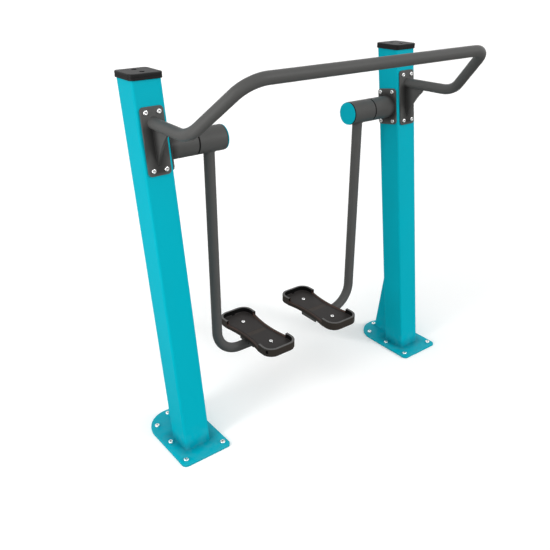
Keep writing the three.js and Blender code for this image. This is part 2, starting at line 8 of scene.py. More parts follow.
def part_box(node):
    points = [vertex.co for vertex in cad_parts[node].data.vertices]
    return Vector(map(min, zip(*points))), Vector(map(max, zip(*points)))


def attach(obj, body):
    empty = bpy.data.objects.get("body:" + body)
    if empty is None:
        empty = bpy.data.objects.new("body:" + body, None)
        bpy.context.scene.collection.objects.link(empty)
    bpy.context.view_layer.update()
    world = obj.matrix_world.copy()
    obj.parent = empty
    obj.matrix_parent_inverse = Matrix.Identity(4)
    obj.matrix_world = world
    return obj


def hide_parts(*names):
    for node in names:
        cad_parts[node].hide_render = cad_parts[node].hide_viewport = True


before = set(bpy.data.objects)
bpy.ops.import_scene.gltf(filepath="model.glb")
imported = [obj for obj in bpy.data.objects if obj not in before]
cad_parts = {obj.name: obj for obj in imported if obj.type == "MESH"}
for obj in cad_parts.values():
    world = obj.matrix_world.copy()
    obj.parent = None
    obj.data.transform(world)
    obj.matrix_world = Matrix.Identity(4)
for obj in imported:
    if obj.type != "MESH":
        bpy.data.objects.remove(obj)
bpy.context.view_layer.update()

# The photograph's view, from head height in front and to the left of the walker. It stands in a bright plain
# studio: a pale floor, a white surround that is brightest low down, a soft lamp at the right front and a
# panel at the left.
scene = bpy.context.scene
scene.view_settings.view_transform = "Standard"
camera = bpy.data.objects.new("photo_view", bpy.data.cameras.new("photo_view"))
camera.location = (-1.52157, -1.74325, 1.66299)
camera.rotation_euler = (math.radians(63.8), 0, math.radians(-37.56))
camera.data.sensor_fit = "HORIZONTAL"
camera.data.sensor_width = 36
camera.data.lens = 42.712
scene.collection.objects.link(camera)
scene.camera = camera


def put(tree, kind, inputs=None, **settings):
    """A node with its settings, whose inputs are linked to sockets or set to values."""
    node = tree.nodes.new(kind)
    for name, value in settings.items():
        setattr(node, name, value)
    for name, value in (inputs or {}).items():
        if isinstance(value, bpy.types.NodeSocket):
            tree.links.new(value, node.inputs[name])
        else:
            node.inputs[name].default_value = value
    return node


def bare_material(name):
    """A new material with no nodes in it yet."""
    material = bpy.data.materials.new(name)
    material.use_nodes = True
    material.node_tree.nodes.clear()
    return material


def blend(tree, mask, low, high):
    """The colour that goes from low to high as the mask rises."""
    return put(tree, "ShaderNodeMix", {0: mask, 6: low, 7: high}, data_type="RGBA").outputs[2]


def measure(tree, kind, *terms):
    """The result of a calculation on numbers."""
    return put(tree, "ShaderNodeMath", dict(enumerate(terms)), operation=kind).outputs[0]


def ranged(tree, value, low, high, start=0.0, finish=1.0, ease="LINEAR"):
    """A value carried from the range low to high onto start to finish, and held at both ends."""
    ends = {"Value": value, "From Min": low, "From Max": high, "To Min": start, "To Max": finish}
    return put(tree, "ShaderNodeMapRange", ends, interpolation_type=ease).outputs["Result"]


floor_reach = 30
floor_drop = -0.0004
floor_mesh = bpy.data.meshes.new("studio_floor")
floor_mesh.from_pydata(
    [(x * floor_reach, y * floor_reach, floor_drop) for x, y in ((-1, -1), (1, -1), (1, 1), (-1, 1))],
    [], [(0, 1, 2, 3)])
floor = bpy.data.objects.new("studio_floor", floor_mesh)
scene.collection.objects.link(floor)
floor_paper = bare_material("pale_floor")
nodes = floor_paper.node_tree
place = put(nodes, "ShaderNodeTexCoord").outputs["Object"]
cloud = put(nodes, "ShaderNodeTexNoise", {"Vector": place, "Scale": 0.9, "Detail": 2.0}).outputs["Fac"]
pale = blend(nodes, cloud, (1.05, 1.05, 1.045, 1), (1.09, 1.09, 1.085, 1))
watched = put(nodes, "ShaderNodeLightPath").outputs["Is Camera Ray"]
paper = blend(nodes, watched, (0.36, 0.36, 0.35, 1), pale)
matt = put(nodes, "ShaderNodeBsdfDiffuse", {"Color": paper, "Roughness": 0.6}).outputs[0]
put(nodes, "ShaderNodeOutputMaterial", {"Surface": matt})
floor_mesh.materials.append(floor_paper)

surround = bpy.data.worlds.new("white_surround")
surround.use_nodes = True
nodes = surround.node_tree
nodes.nodes.clear()
ray = put(nodes, "ShaderNodeLightPath").outputs
seen = measure(nodes, "MAXIMUM", ray["Is Camera Ray"], ray["Is Glossy Ray"])
seen = measure(nodes, "MAXIMUM", seen, ray["Is Transmission Ray"])
upward = put(nodes, "ShaderNodeTexCoord").outputs["Generated"]
upward = put(nodes, "ShaderNodeSeparateXYZ", {0: upward}).outputs["Z"]
horizon_light = 1.52
overhead_light = 0.5
dome = ranged(nodes, upward, 0.0, 1.0, horizon_light, overhead_light)
fill = put(nodes, "ShaderNodeBackground", {"Color": (1, 1, 1, 1), "Strength": dome}).outputs[0]
white = put(nodes, "ShaderNodeBackground", {"Color": (1, 1, 1, 1), "Strength": 1.0}).outputs[0]
sky = put(nodes, "ShaderNodeMixShader", {0: seen, 1: fill, 2: white}).outputs[0]
put(nodes, "ShaderNodeOutputWorld", {"Surface": sky})
scene.world = surround

lamp = bpy.data.objects.new("soft_lamp", bpy.data.lights.new("soft_lamp", "SUN"))
lamp.data.energy = 0.96
lamp.data.angle = math.radians(16)
lamp.rotation_euler = Vector((0.50, -0.80, 0.42)).to_track_quat("Z", "Y").to_euler()
scene.collection.objects.link(lamp)

panel = bpy.data.objects.new("side_panel", bpy.data.lights.new("side_panel", "AREA"))
panel.data.shape = "RECTANGLE"
panel.data.size = 0.4
panel.data.size_y = 1.6
panel.data.energy = 10.5
panel.visible_camera = False
panel.location = (-1.74, -0.10, 0.98)
panel.rotation_euler = Vector((-1, 0, 0)).to_track_quat("Z", "Y").to_euler()
scene.collection.objects.link(panel)

# Base plates: 10 mm steel, square in front and half round behind, each with an upright fin that braces the
# back of its post. Both are welded to the post before the whole is powder coated teal.
plate_thickness = 0.010
plate_width = 0.204
plate_front = 0.123
plate_rear = 0.206
plate_corner = 0.018
plate_ease = 0.0014
post_x = 0.580
post_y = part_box("left_base_plate")[0].y + plate_front
post_half = 0.0525
seat_gap = 0.0003
post_lean = math.radians(7.62)
post_slope = math.tan(post_lean)
brace_thickness = 0.008
brace_height = 0.430
brace_tip = 0.003
brace_foot = 0.168
brace_face = (post_half + seat_gap) / math.cos(post_lean)
brace_sunk = 0.003
brace_root = 0.002
bead_size = 0.0014
bead_rise = 0.001
bead_aside = 0.0008
bead_start = 0.004
bead_stop = 0.006
foot_bead_corner = 0.009
tidy_edge = 0.001
sharp_angle = math.radians(42)

sides = (("left", -1), ("right", 1))


def arc(x, y, radius, start, end, steps):
    """Points of an arc from one angle, in quarter turns, to another."""
    quarter = math.pi / 2
    angles = [(start + (end - start) * i / steps) * quarter for i in range(steps + 1)]
    return [(x + radius * math.cos(a), y + radius * math.sin(a)) for a in angles]


def rounded(width, height, radius, steps=10):
    """A rectangle about the origin with round corners, counterclockwise."""
    x, y = width / 2 - radius, height / 2 - radius
    centres = ((x, y), (-x, y), (-x, -y), (x, -y))
    return [p for i, c in enumerate(centres) for p in arc(*c, radius, i, i + 1, steps)]


def ease_edges(shape, width, steps=3, keen=30):
    """Rounds every edge that is keener than an angle and marks the new faces as the ones that wear."""
    shape.normal_update()
    keen_edges = [edge for edge in shape.edges
                  if len(edge.link_faces) == 2 and edge.calc_face_angle() > math.radians(keen)]
    made = bmesh.ops.bevel(shape, geom=keen_edges, offset=width, segments=steps, profile=0.5, affect="EDGES")
    wear = shape.faces.layers.float["edge"]
    for face in made["faces"]:
        face[wear] = 1
    return shape


def slab(outline, depth, width, steps=3):
    """A plate of an outline's shape from z = 0 up, with its edges eased."""
    shape = bmesh.new()
    shape.faces.layers.float.new("edge")
    low = [shape.verts.new((x, y, 0)) for x, y in outline]
    high = [shape.verts.new((x, y, depth)) for x, y in outline]
    shape.faces.new(low[::-1])
    shape.faces.new(high)
    for i in range(len(low)):
        shape.faces.new((low[i - 1], low[i], high[i], high[i - 1]))
    return ease_edges(shape, width, steps)


def moved(shape, *turns):
    """A shape carried by matrices, the last one first."""
    for turn in reversed(turns):
        shape.transform(turn)
    return shape


def joined(*parts):
    """One shape of several, each a shape or a mesh."""
    whole = bmesh.new()
    for mark in ("edge", "trim"):
        whole.faces.layers.float.new(mark)
    for part in parts:
        mesh = part
        if isinstance(part, bmesh.types.BMesh):
            mesh = bpy.data.meshes.new("part")
            part.to_mesh(mesh)
            part.free()
        whole.from_mesh(mesh)
        bpy.data.meshes.remove(mesh)
    return whole


def marked(shape, rule):
    """A shape whose faces are numbered by a rule on their middle and their direction, for its material."""
    shape.normal_update()
    trim = shape.faces.layers.float["trim"]
    for face in shape.faces:
        face[trim] = float(rule(face.calc_center_median(), face.normal))
    return shape


def settled(thing):
    """The plain mesh that a thing's modifiers make of it."""
    graph = bpy.context.evaluated_depsgraph_get()
    return bpy.data.meshes.new_from_object(thing.evaluated_get(graph), depsgraph=graph)


def piece(name, shape, material, body, nodes=()):
    """A finished piece of the walker: its mesh shaded evenly, on its body, in place of its CAD nodes."""
    mesh = bpy.data.meshes.new(name)
    shape.to_mesh(mesh)
    shape.free()
    mesh.shade_smooth()
    mesh.set_sharp_from_angle(angle=sharp_angle)
    thing = bpy.data.objects.new(name, mesh)
    scene.collection.objects.link(thing)
    thing.modifiers.new("even_shading", "WEIGHTED_NORMAL").keep_sharp = True
    thing.data = settled(thing)
    thing.modifiers.clear()
    bpy.data.meshes.remove(mesh)
    thing.data.name = name
    thing.data.materials.clear()
    thing.data.materials.append(material)
    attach(thing, body)
    if nodes:
        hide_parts(*nodes)
    return thing


def geometry_tree(name, inputs):
    """A geometry tree with a shape in and out and named inputs, and its two ends."""
    tree = bpy.data.node_groups.new(name, "GeometryNodeTree")
    tree.is_modifier = True
    face = tree.interface
    face.new_socket("Shape", in_out="INPUT", socket_type="NodeSocketGeometry")
    for label, kind in inputs.items():
        face.new_socket(label, in_out="INPUT", socket_type="NodeSocket" + kind)
    face.new_socket("Shape", in_out="OUTPUT", socket_type="NodeSocketGeometry")
    return tree, tree.nodes.new("NodeGroupInput").outputs, tree.nodes.new("NodeGroupOutput").inputs


def close_tree(tree, shape, material, end):
    """Ends a geometry tree: instances made real, and the material set."""
    real = put(tree, "GeometryNodeRealizeInstances", {"Geometry": shape}).outputs[0]
    dressed = put(tree, "GeometryNodeSetMaterial", {"Geometry": real, "Material": material}).outputs[0]
    tree.links.new(dressed, end["Shape"])


def grown(base, tree, **values):
    """The plain mesh that a geometry tree makes of a base mesh, its inputs set by name."""
    thing = bpy.data.objects.new("growing", base)
    scene.collection.objects.link(thing)
    grow = thing.modifiers.new("grow", "NODES")
    grow.node_group = tree
    for item in tree.interface.items_tree:
        if item.in_out == "INPUT" and item.name in values:
            grow[item.identifier] = values[item.name]
    mesh = settled(thing)
    bpy.data.objects.remove(thing)
    bpy.data.meshes.remove(base)
    return mesh


def line(points, closed=False, **marks):
    """A mesh of one line through points, with a number for each point under each name."""
    count = len(points)
    edges = [(i, (i + 1) % count) for i in range(count if closed else count - 1)]
    mesh = bpy.data.meshes.new("line")
    mesh.from_pydata([tuple(p) for p in points], edges, [])
    for name, numbers in marks.items():
        mesh.attributes.new(name, "FLOAT", "POINT").data.foreach_set("value", numbers)
    return mesh


# A weld bead follows a line: a round bead whose size ripples as the torch steps along
sample_share = 0.3
noise_middle = 0.5
unevenness = 3.0
weld_tree, given, end = geometry_tree("weld_bead", {
    "Radius": "Float", "Ripple": "Float", "Depth": "Float", "Seed": "Float", "Material": "Material"})
run = put(weld_tree, "GeometryNodeMeshToCurve", {"Mesh": given["Shape"]}).outputs[0]
pace = measure(weld_tree, "MULTIPLY", given["Ripple"], sample_share)
run = put(weld_tree, "GeometryNodeResampleCurve", {"Curve": run, "Length": pace}, mode="LENGTH").outputs[0]
along = put(weld_tree, "GeometryNodeSplineParameter").outputs["Length"]
turns = measure(weld_tree, "DIVIDE", along, given["Ripple"])
wave = measure(weld_tree, "SINE", measure(weld_tree, "MULTIPLY", turns, math.tau))
drift = put(weld_tree, "ShaderNodeTexNoise", {"W": given["Seed"], "Scale": 70.0}, noise_dimensions="4D")
drift = measure(weld_tree, "SUBTRACT", drift.outputs[0], noise_middle)
wave = measure(weld_tree, "ADD", wave, measure(weld_tree, "MULTIPLY", drift, unevenness))
wave = measure(weld_tree, "MULTIPLY_ADD", wave, given["Depth"], 1.0)
ring = put(weld_tree, "GeometryNodeCurvePrimitiveCircle", {"Resolution": 10, "Radius": given["Radius"]})
bead = put(weld_tree, "GeometryNodeCurveToMesh",
           {"Curve": run, "Profile Curve": ring.outputs[0], "Scale": wave, "Fill Caps": True}).outputs[0]
close_tree(weld_tree, bead, given["Material"], end)


def weld(points, material, seed, closed=False):
    """A weld bead along points, as a mesh."""
    return grown(line(points, closed), weld_tree, Radius=bead_size, Ripple=0.0034, Depth=0.05, Seed=seed,
                 Material=material)


def shader_group(name, inputs, outputs):
    """A shader node group with number and vector inputs and number outputs, and its two ends."""
    group = bpy.data.node_groups.new(name, "ShaderNodeTree")
    for label, value in inputs.items():
        kind = "NodeSocketFloat" if isinstance(value, float) else "NodeSocketVector"
        socket = group.interface.new_socket(label, in_out="INPUT", socket_type=kind)
        if kind == "NodeSocketFloat":
            socket.default_value = value
    for label in outputs:
        group.interface.new_socket(label, in_out="OUTPUT", socket_type="NodeSocketFloat")
    return group, group.nodes.new("NodeGroupInput").outputs, group.nodes.new("NodeGroupOutput").inputs


# Grain of a coat or a moulding: its fine relief, and a slow cloudiness of its shade.
# The span is the part of its noise that the materials stretch over their range of gloss.
grain_span = (0.3, 0.7)
grain_group, given, end = shader_group("surface_grain", {"Place": (), "Scale": 900.0}, ("Relief", "Cloud"))
fine = put(grain_group, "ShaderNodeTexNoise",
           {"Vector": given["Place"], "Scale": given["Scale"], "Detail": 2.0})
slow = put(grain_group, "ShaderNodeTexNoise", {"Vector": given["Place"], "Scale": 7.0, "Detail": 4.0})
grain_group.links.new(fine.outputs["Fac"], end["Relief"])
grain_group.links.new(slow.outputs["Fac"], end["Cloud"])

# Wear: eased edges, broken up by a noise, where hands, boots and tools rub
wear_group, given, end = shader_group("rubbed_edges", {"Place": (), "Amount": 0.5}, ("Mask",))
edge = put(wear_group, "ShaderNodeAttribute", attribute_name="edge").outputs["Fac"]
patch = put(wear_group, "ShaderNodeTexNoise", {"Vector": given["Place"], "Scale": 55.0, "Detail": 5.0})
rub = measure(wear_group, "MULTIPLY", edge, ranged(wear_group, patch.outputs["Fac"], 0.42, 0.66))
rub = measure(wear_group, "MULTIPLY", rub, given["Amount"])
wear_group.links.new(rub, end["Mask"])

# Dust: thickest at the ground, thinning out over the height given
dust_group, given, end = shader_group("ground_dust", {"Place": (), "Height": 0.1, "Amount": 0.08}, ("Mask",))
up = put(dust_group, "ShaderNodeSeparateXYZ", {0: given["Place"]}).outputs["Z"]
low = ranged(dust_group, up, 0.0, given["Height"], 1.0, 0.0)
puff = put(dust_group, "ShaderNodeTexNoise", {"Vector": given["Place"], "Scale": 38.0, "Detail": 6.0})
dust = measure(dust_group, "MULTIPLY", low, ranged(dust_group, puff.outputs["Fac"], 0.38, 0.75))
dust = measure(dust_group, "MULTIPLY", dust, given["Amount"])
dust_group.links.new(dust, end["Mask"])

dust_colour = (0.36, 0.33, 0.27, 1)


def near(tree, reach, *gaps):
    """1 where a place touches, fading to 0 at a reach; each gap is how far away it is along one direction."""
    gaps = [measure(tree, "MAXIMUM", gap, 0.0) for gap in gaps]
    away = put(tree, "ShaderNodeCombineXYZ", dict(enumerate(gaps))).outputs[0]
    away = put(tree, "ShaderNodeVectorMath", {0: away}, operation="LENGTH").outputs["Value"]
    return ranged(tree, away, 0.0, reach, 1.0, 0.0, "SMOOTHSTEP")


# Painted shade of the base: a darker teal where the post meets its plate, where shade falls in the corner
foot_shade_reach = 0.045
foot_shade_depth = 0.6
foot_shade_group, given, end = shader_group("foot_painted_shade", {"Place": ()}, ("Mask",))
x, y, z = put(foot_shade_group, "ShaderNodeSeparateXYZ", {0: given["Place"]}).outputs
side_gap = measure(foot_shade_group, "SUBTRACT", measure(foot_shade_group, "ABSOLUTE", x), post_x)
side_gap = measure(foot_shade_group, "SUBTRACT", measure(foot_shade_group, "ABSOLUTE", side_gap), post_half)
rise = measure(foot_shade_group, "SUBTRACT", z, plate_thickness)
back = measure(foot_shade_group, "SUBTRACT", y, post_y)
back = measure(foot_shade_group, "SUBTRACT", back, measure(foot_shade_group, "MULTIPLY", rise, post_slope))
back_gap = measure(foot_shade_group, "SUBTRACT", measure(foot_shade_group, "ABSOLUTE", back), post_half)
painted_shade = near(foot_shade_group, foot_shade_reach, side_gap, back_gap, rise)
foot_shade_group.links.new(measure(foot_shade_group, "MULTIPLY", painted_shade, foot_shade_depth), end["Mask"])


coat_gloss_spread = (-0.04, 0.05)
dust_dulling = 0.6


def powder_coat(name, colour, deep, rubbed, painted_shade, painted_shade_group, gloss, peel, shine):
    """Baked powder coat: orange peel, clouded shade, rubbed edges, painted shade in corners, dust near the
    ground.
    """
    material = bare_material(name)
    tree = material.node_tree
    place = put(tree, "ShaderNodeTexCoord").outputs["Object"]
    grain = put(tree, "ShaderNodeGroup", node_tree=grain_group)
    grain.inputs["Scale"].default_value = peel
    wear = put(tree, "ShaderNodeGroup", node_tree=wear_group)
    dust = put(tree, "ShaderNodeGroup", node_tree=dust_group)
    painted_shade_node = put(tree, "ShaderNodeGroup", node_tree=painted_shade_group)
    for node in (grain, wear, dust, painted_shade_node):
        tree.links.new(place, node.inputs["Place"])
    shade = blend(tree, grain.outputs["Cloud"], colour, deep)
    shade = blend(tree, wear.outputs["Mask"], shade, rubbed)
    # Painted shade: the coat darkens where its mask says shade falls
    shade = blend(tree, painted_shade_node.outputs["Mask"], shade, painted_shade)
    shade = blend(tree, dust.outputs["Mask"], shade, dust_colour)
    glosses = [gloss + spread for spread in coat_gloss_spread]
    rough = ranged(tree, grain.outputs["Cloud"], *grain_span, *glosses)
    rough = measure(tree, "MULTIPLY_ADD", dust.outputs["Mask"], dust_dulling, rough)
    relief = put(tree, "ShaderNodeBump",
                 {"Strength": 0.1, "Distance": 0.0002, "Height": grain.outputs["Relief"]})
    skin = put(tree, "ShaderNodeBsdfPrincipled",
               {"Base Color": shade, "Roughness": rough, "Normal": relief.outputs[0],
                "Specular IOR Level": shine})
    put(tree, "ShaderNodeOutputMaterial", {"Surface": skin.outputs[0]})
    return material


def srgb(red, green, blue):
    """A colour given as it looks on a screen, out of 255."""
    linear = [c / 3294.6 if c <= 10 else ((c / 255 + 0.055) / 1.055) ** 2.4 for c in (red, green, blue)]
    return (*linear, 1)


# The teal coat's darker teal is painted shade at the foot of each post
teal_coat = powder_coat(
    "teal_powder_coat", colour=srgb(0, 171, 189), deep=srgb(0, 166, 184), rubbed=srgb(30, 184, 200),
    painted_shade=srgb(0, 114, 133), painted_shade_group=foot_shade_group, gloss=0.36, peel=1000.0, shine=0.05)


def post_frame(side):
    """The place of a post: its foot on the base plate, its Z up along its lean."""
    return Matrix.Translation((side * post_x, post_y, plate_thickness)) @ Matrix.Rotation(-post_lean, 4, "X")


plate_half = plate_width / 2
plate_outline = (
    arc(0, plate_rear - plate_half, plate_half, 0, 2, 56)
    + arc(plate_corner - plate_half, plate_corner - plate_front, plate_corner, 2, 3, 14)
    + arc(plate_half - plate_corner, plate_corner - plate_front, plate_corner, 3, 4, 14))
brace_top = brace_face + brace_height * post_slope
brace_outline = [
    (brace_face - brace_sunk, -brace_root), (brace_foot, -brace_root), (brace_foot, brace_root),
    (brace_top + brace_tip, brace_height), (brace_top - brace_sunk, brace_height)]
brace_half = brace_thickness / 2
bead_height = plate_thickness + bead_rise
foot_bead_width = 2 * post_half + bead_rise
for label, side in sides:
    ground = Matrix.Translation((side * post_x, post_y, 0))
    upright = Matrix.Rotation(math.pi / 2, 4, "Z") @ Matrix.Rotation(math.pi / 2, 4, "X")
    plate = slab(plate_outline, plate_thickness, plate_ease)
    brace = moved(slab(brace_outline, brace_thickness, tidy_edge, 2),
                  Matrix.Translation((0, 0, plate_thickness)), upright,
                  Matrix.Translation((0, 0, -brace_half)))
    foot = [(x, y / math.cos(post_lean), bead_height)
            for x, y in rounded(foot_bead_width, foot_bead_width, foot_bead_corner)]
    beads = [weld(foot, teal_coat, seed=1.0 + side, closed=True)]
    for way in (-1, 1):
        x = way * (brace_half + bead_aside)
        along_plate = [(x, brace_face, bead_height), (x, brace_foot - bead_start, bead_height)]
        along_post = [(x, brace_face + h * post_slope + bead_rise, plate_thickness + h)
                      for h in (bead_start, brace_height - bead_stop)]
        beads += [weld(along_plate, teal_coat, seed=3.0 + way), weld(along_post, teal_coat, seed=5.0 + way)]
    piece(f"{label}_welded_base", moved(joined(plate, brace, *beads), ground), teal_coat, "frame",
          [f"{label}_base_plate"])

# Anchors: bright button-head screws with a hexagon socket, run down on the plate into the footing below it.
# Seven to a plate, in three rows of two and one more behind the brace.
anchor_rows = ((0, 0.023), (0.427, 0.026), (0.842, 0.0305))
anchor_inset = 0.026
anchor_first = anchor_inset - plate_front
anchor_last = plate_rear - anchor_inset
anchor_head = (0.010, 0.0065)
anchor_shank = 0.006
head_brim_share = 0.35
head_crown_share = 0.68
head_edge = 0.0003
socket_share = 0.72
socket_lip_share = 0.64
socket_floor_share = 0.45
socket_reach_share = 0.42


def hexagon(flats):
    """How far a hexagon of this width across its flats reaches at an angle."""
    def reach(angle):
        turn = math.radians(60)
        return flats / 2 / math.cos((angle + turn / 2) % turn - turn / 2)
    return reach


def turned(rings, count, wears=()):
    """A closed shape of rings about Z, lowest first: each a radius, or a rule for it, and a height."""
    shape = bmesh.new()
    wear = shape.faces.layers.float.new("edge")
    angles = [math.tau * i / count for i in range(count)]
    loops = []
    for radius, height in rings:
        if radius == 0:
            loops.append([shape.verts.new((0, 0, height))] * count)
            continue
        spots = [(radius(a) if callable(radius) else radius, a) for a in angles]
        loops.append([shape.verts.new((r * math.cos(a), r * math.sin(a), height)) for r, a in spots])
    pairs = list(zip(loops, loops[1:]))
    if rings[0][0] != 0:
        pairs.append((loops[-1], loops[0]))
    for row, (low, high) in enumerate(pairs):
        for i in range(count):
            corner = (low[i - 1], low[i], high[i], high[i - 1])
            face = shape.faces.new(list(dict.fromkeys(corner)))
            face[wear] = 1.0 if row in wears else 0.0
    bmesh.ops.recalc_face_normals(shape, faces=shape.faces)
    return shape


def button_head(radius, height, shank):
    """Rings of a button head above 0 on a shank, with the hexagon socket in its crown."""
    flats = socket_share * radius
    socket = hexagon(flats)
    brim, floor = height * head_brim_share, height * socket_floor_share
    dome = []
    for i in range(7):
        angle = math.radians(i * 15)
        dome.append((radius * (head_crown_share + (1 - head_crown_share) * math.cos(angle)),
                     brim + (height - brim) * math.sin(angle)))
    return [*shank, (radius - head_edge, 0), (radius, head_edge), *dome, (flats * socket_lip_share, height),
            (socket, height - head_edge), (socket, floor), (0, floor - 2 * head_edge)]


# Fasteners stand on points, each along the direction stored with its point and turned by chance about itself
fastener_tree, given, end = geometry_tree("fasteners", {
    "Fastener": "Object", "Size": "Float", "Turn": "Float", "Seed": "Int", "Material": "Material"})
facing = put(fastener_tree, "GeometryNodeInputNamedAttribute", {"Name": "facing"}, data_type="FLOAT_VECTOR")
stance = put(fastener_tree, "FunctionNodeAlignRotationToVector", {"Vector": facing.outputs[0]}, axis="Z")
chance = put(fastener_tree, "FunctionNodeRandomValue",
             {3: given["Turn"], "Seed": given["Seed"]}, data_type="FLOAT")
spin = put(fastener_tree, "FunctionNodeAxisAngleToRotation", {"Axis": (0, 0, 1), "Angle": chance.outputs[1]})
stance = put(fastener_tree, "FunctionNodeRotateRotation",
             {"Rotation": stance.outputs[0], "Rotate By": spin.outputs[0]}, rotation_space="LOCAL").outputs[0]
model = put(fastener_tree, "GeometryNodeObjectInfo", {"Object": given["Fastener"]}).outputs["Geometry"]
crowd = put(fastener_tree, "GeometryNodeInstanceOnPoints", {
    "Points": given["Shape"], "Instance": model, "Rotation": stance, "Scale": given["Size"]}).outputs[0]
close_tree(fastener_tree, crowd, given["Material"], end)


def fasten(name, model, spots, material, body, nodes, seed):
    """One piece of many like fasteners, each at a spot of a place and a direction."""
    template = bpy.data.objects.new(name + "_model", bpy.data.meshes.new(name + "_model"))
    reach = socket_reach_share * max(corner.co.xy.length for corner in model.verts)
    model.faces.layers.float.new("trim")
    # The socket faces are marked, so that the metal paints shade into them
    marked(model, lambda middle, facing: middle.z > 0 and middle.xy.length < reach).to_mesh(template.data)
    model.free()
    scene.collection.objects.link(template)
    points = bpy.data.meshes.new("spots")
    points.from_pydata([tuple(place) for place, _ in spots], [], [])
    points.attributes.new("facing", "FLOAT_VECTOR", "POINT").data.foreach_set(
        "vector", [c for _, way in spots for c in way])
    crowd = grown(points, fastener_tree, Fastener=template, Size=1.0, Turn=math.tau, Seed=seed,
                  Material=material)
    bpy.data.objects.remove(template)
    return piece(name, joined(crowd), material, body, nodes)


metal_gloss_spread = (-0.05, 0.08)
metal_polish = 0.1
# The hexagon sockets are painted a darker grey: painted shade in the recess
socket_painted_shade = srgb(188, 188, 188)


def bright_metal(name, colour, dull, gloss, lay):
    """Turned or ground steel: fine tool lines, a faint dulling here and there, and painted shade in the
    sockets.
    """
    material = bare_material(name)
    tree = material.node_tree
    place = put(tree, "ShaderNodeTexCoord").outputs["Object"]
    grain = put(tree, "ShaderNodeGroup", {"Scale": 260.0}, node_tree=grain_group)
    wear = put(tree, "ShaderNodeGroup", {"Amount": 0.6}, node_tree=wear_group)
    for node in (grain, wear):
        tree.links.new(place, node.inputs["Place"])
    fine = put(tree, "ShaderNodeTexNoise", {"Vector": place, "Scale": lay, "Detail": 3.0}).outputs["Fac"]
    shade = blend(tree, grain.outputs["Relief"], colour, dull)
    trim = put(tree, "ShaderNodeAttribute", attribute_name="trim").outputs["Fac"]
    shade = blend(tree, trim, shade, socket_painted_shade)
    glosses = [gloss + spread for spread in metal_gloss_spread]
    rough = ranged(tree, grain.outputs["Relief"], *grain_span, *glosses)
    rough = measure(tree, "MULTIPLY_ADD", wear.outputs["Mask"], -metal_polish, rough)
    relief = put(tree, "ShaderNodeBump", {"Strength": 0.2, "Distance": 0.00005, "Height": fine})
    skin = put(tree, "ShaderNodeBsdfPrincipled",
               {"Base Color": shade, "Metallic": 1.0, "Roughness": rough, "Normal": relief.outputs[0]})
    put(tree, "ShaderNodeOutputMaterial", {"Surface": skin.outputs[0]})
    return material


stainless = bright_metal("stainless_steel", colour=(0.98, 0.98, 0.975, 1), dull=(0.93, 0.93, 0.925, 1),
                         gloss=0.22, lay=1400.0)
anchor_spots = [(way * (plate_half - inset), anchor_first + share * (anchor_last - anchor_first))
                for share, inset in anchor_rows for way in (-1, 1)] + [(0, anchor_last)]
anchor_end = -plate_thickness - seat_gap
anchor_rings = button_head(*anchor_head, [(0, anchor_end), (anchor_shank, anchor_end), (anchor_shank, 0)])
spots = [(Vector((side * post_x + x, post_y + y, -anchor_end)), (0, 0, 1))
         for _, side in sides for x, y in anchor_spots]
fasten("ground_anchors", turned(anchor_rings, 36), spots, stainless, "frame",
       [f"{label}_anchor_{i}" for label, _ in sides for i in range(1, 8)], 11)

# Posts: 105 mm square steel tube with rolled corners, leaning back, level at both ends.
# Powder coated with the base plate that they are welded to.
post_wall = 0.004
post_corner = 0.008
post_top = 1.3185
post_foot = plate_thickness + 0.0001
post_rim = post_top - 0.0004


def post_loop(half, radius, height):
    """The level section of a leaning post at a height."""
    drift = (height - plate_thickness) * post_slope
    return [(x, y / math.cos(post_lean) + drift, height) for x, y in rounded(2 * half, 2 * half, radius, 8)]


for label, side in sides:
    shape = bmesh.new()
    shape.faces.layers.float.new("edge")
    inner = post_half - post_wall
    loops = [[shape.verts.new(p) for p in post_loop(half, radius, height)] for half, radius, height in (
        (post_half, post_corner, post_foot), (post_half, post_corner, post_rim),
        (inner, post_corner - post_wall, post_rim), (inner, post_corner - post_wall, post_foot))]
    for row in range(4):
        low, high = loops[row - 1], loops[row]
        for i in range(len(low)):
            shape.faces.new((low[i - 1], low[i], high[i], high[i - 1]))
    bmesh.ops.recalc_face_normals(shape, faces=shape.faces)
    piece(f"{label}_post_tube", moved(shape, Matrix.Translation((side * post_x, post_y, 0))), teal_coat,
          "frame", [f"{label}_post"])

# Post caps: black mouldings pressed into the tops of the posts by a ribbed plug. Each has a grooved skirt,
# a soft upper edge, two blind holes on top and a notch below to prise it off.
cap_width = 0.117
cap_height = 0.020
cap_corner = 0.016
cap_edge = 0.0030
cap_lower_edge = 0.0012
cap_groove = 0.0009
cap_groove_heights = (0.0088, 0.0094, 0.0102, 0.0108)
cap_hole_spacing = 0.053
cap_hole_radius = 0.0085
cap_hole_depth = 0.006
cap_hole_edge = 0.0007
cap_hole_reach = 0.0095
cap_hole_slack = 0.0002
cap_hole_level = 0.015
cap_top_facing = 0.9
cap_plug = 0.026
cap_plug_corner = 0.004
cap_plug_gap = 0.001
cap_plug_sunk = 0.002
cap_notch = (0.009, 0.004, 0.0022)


def lofted(loops, wears=()):
    """A closed shape through loops of equal count, flat at both ends."""
    shape = bmesh.new()
    wear = shape.faces.layers.float.new("edge")
    rings = [[shape.verts.new(p) for p in loop] for loop in loops]
    shape.faces.new(rings[0][::-1])
    shape.faces.new(rings[-1])
    for row, (low, high) in enumerate(zip(rings, rings[1:])):
        for i in range(len(low)):
            face = shape.faces.new((low[i - 1], low[i], high[i], high[i - 1]))
            face[wear] = 1.0 if row in wears else 0.0
    return shape


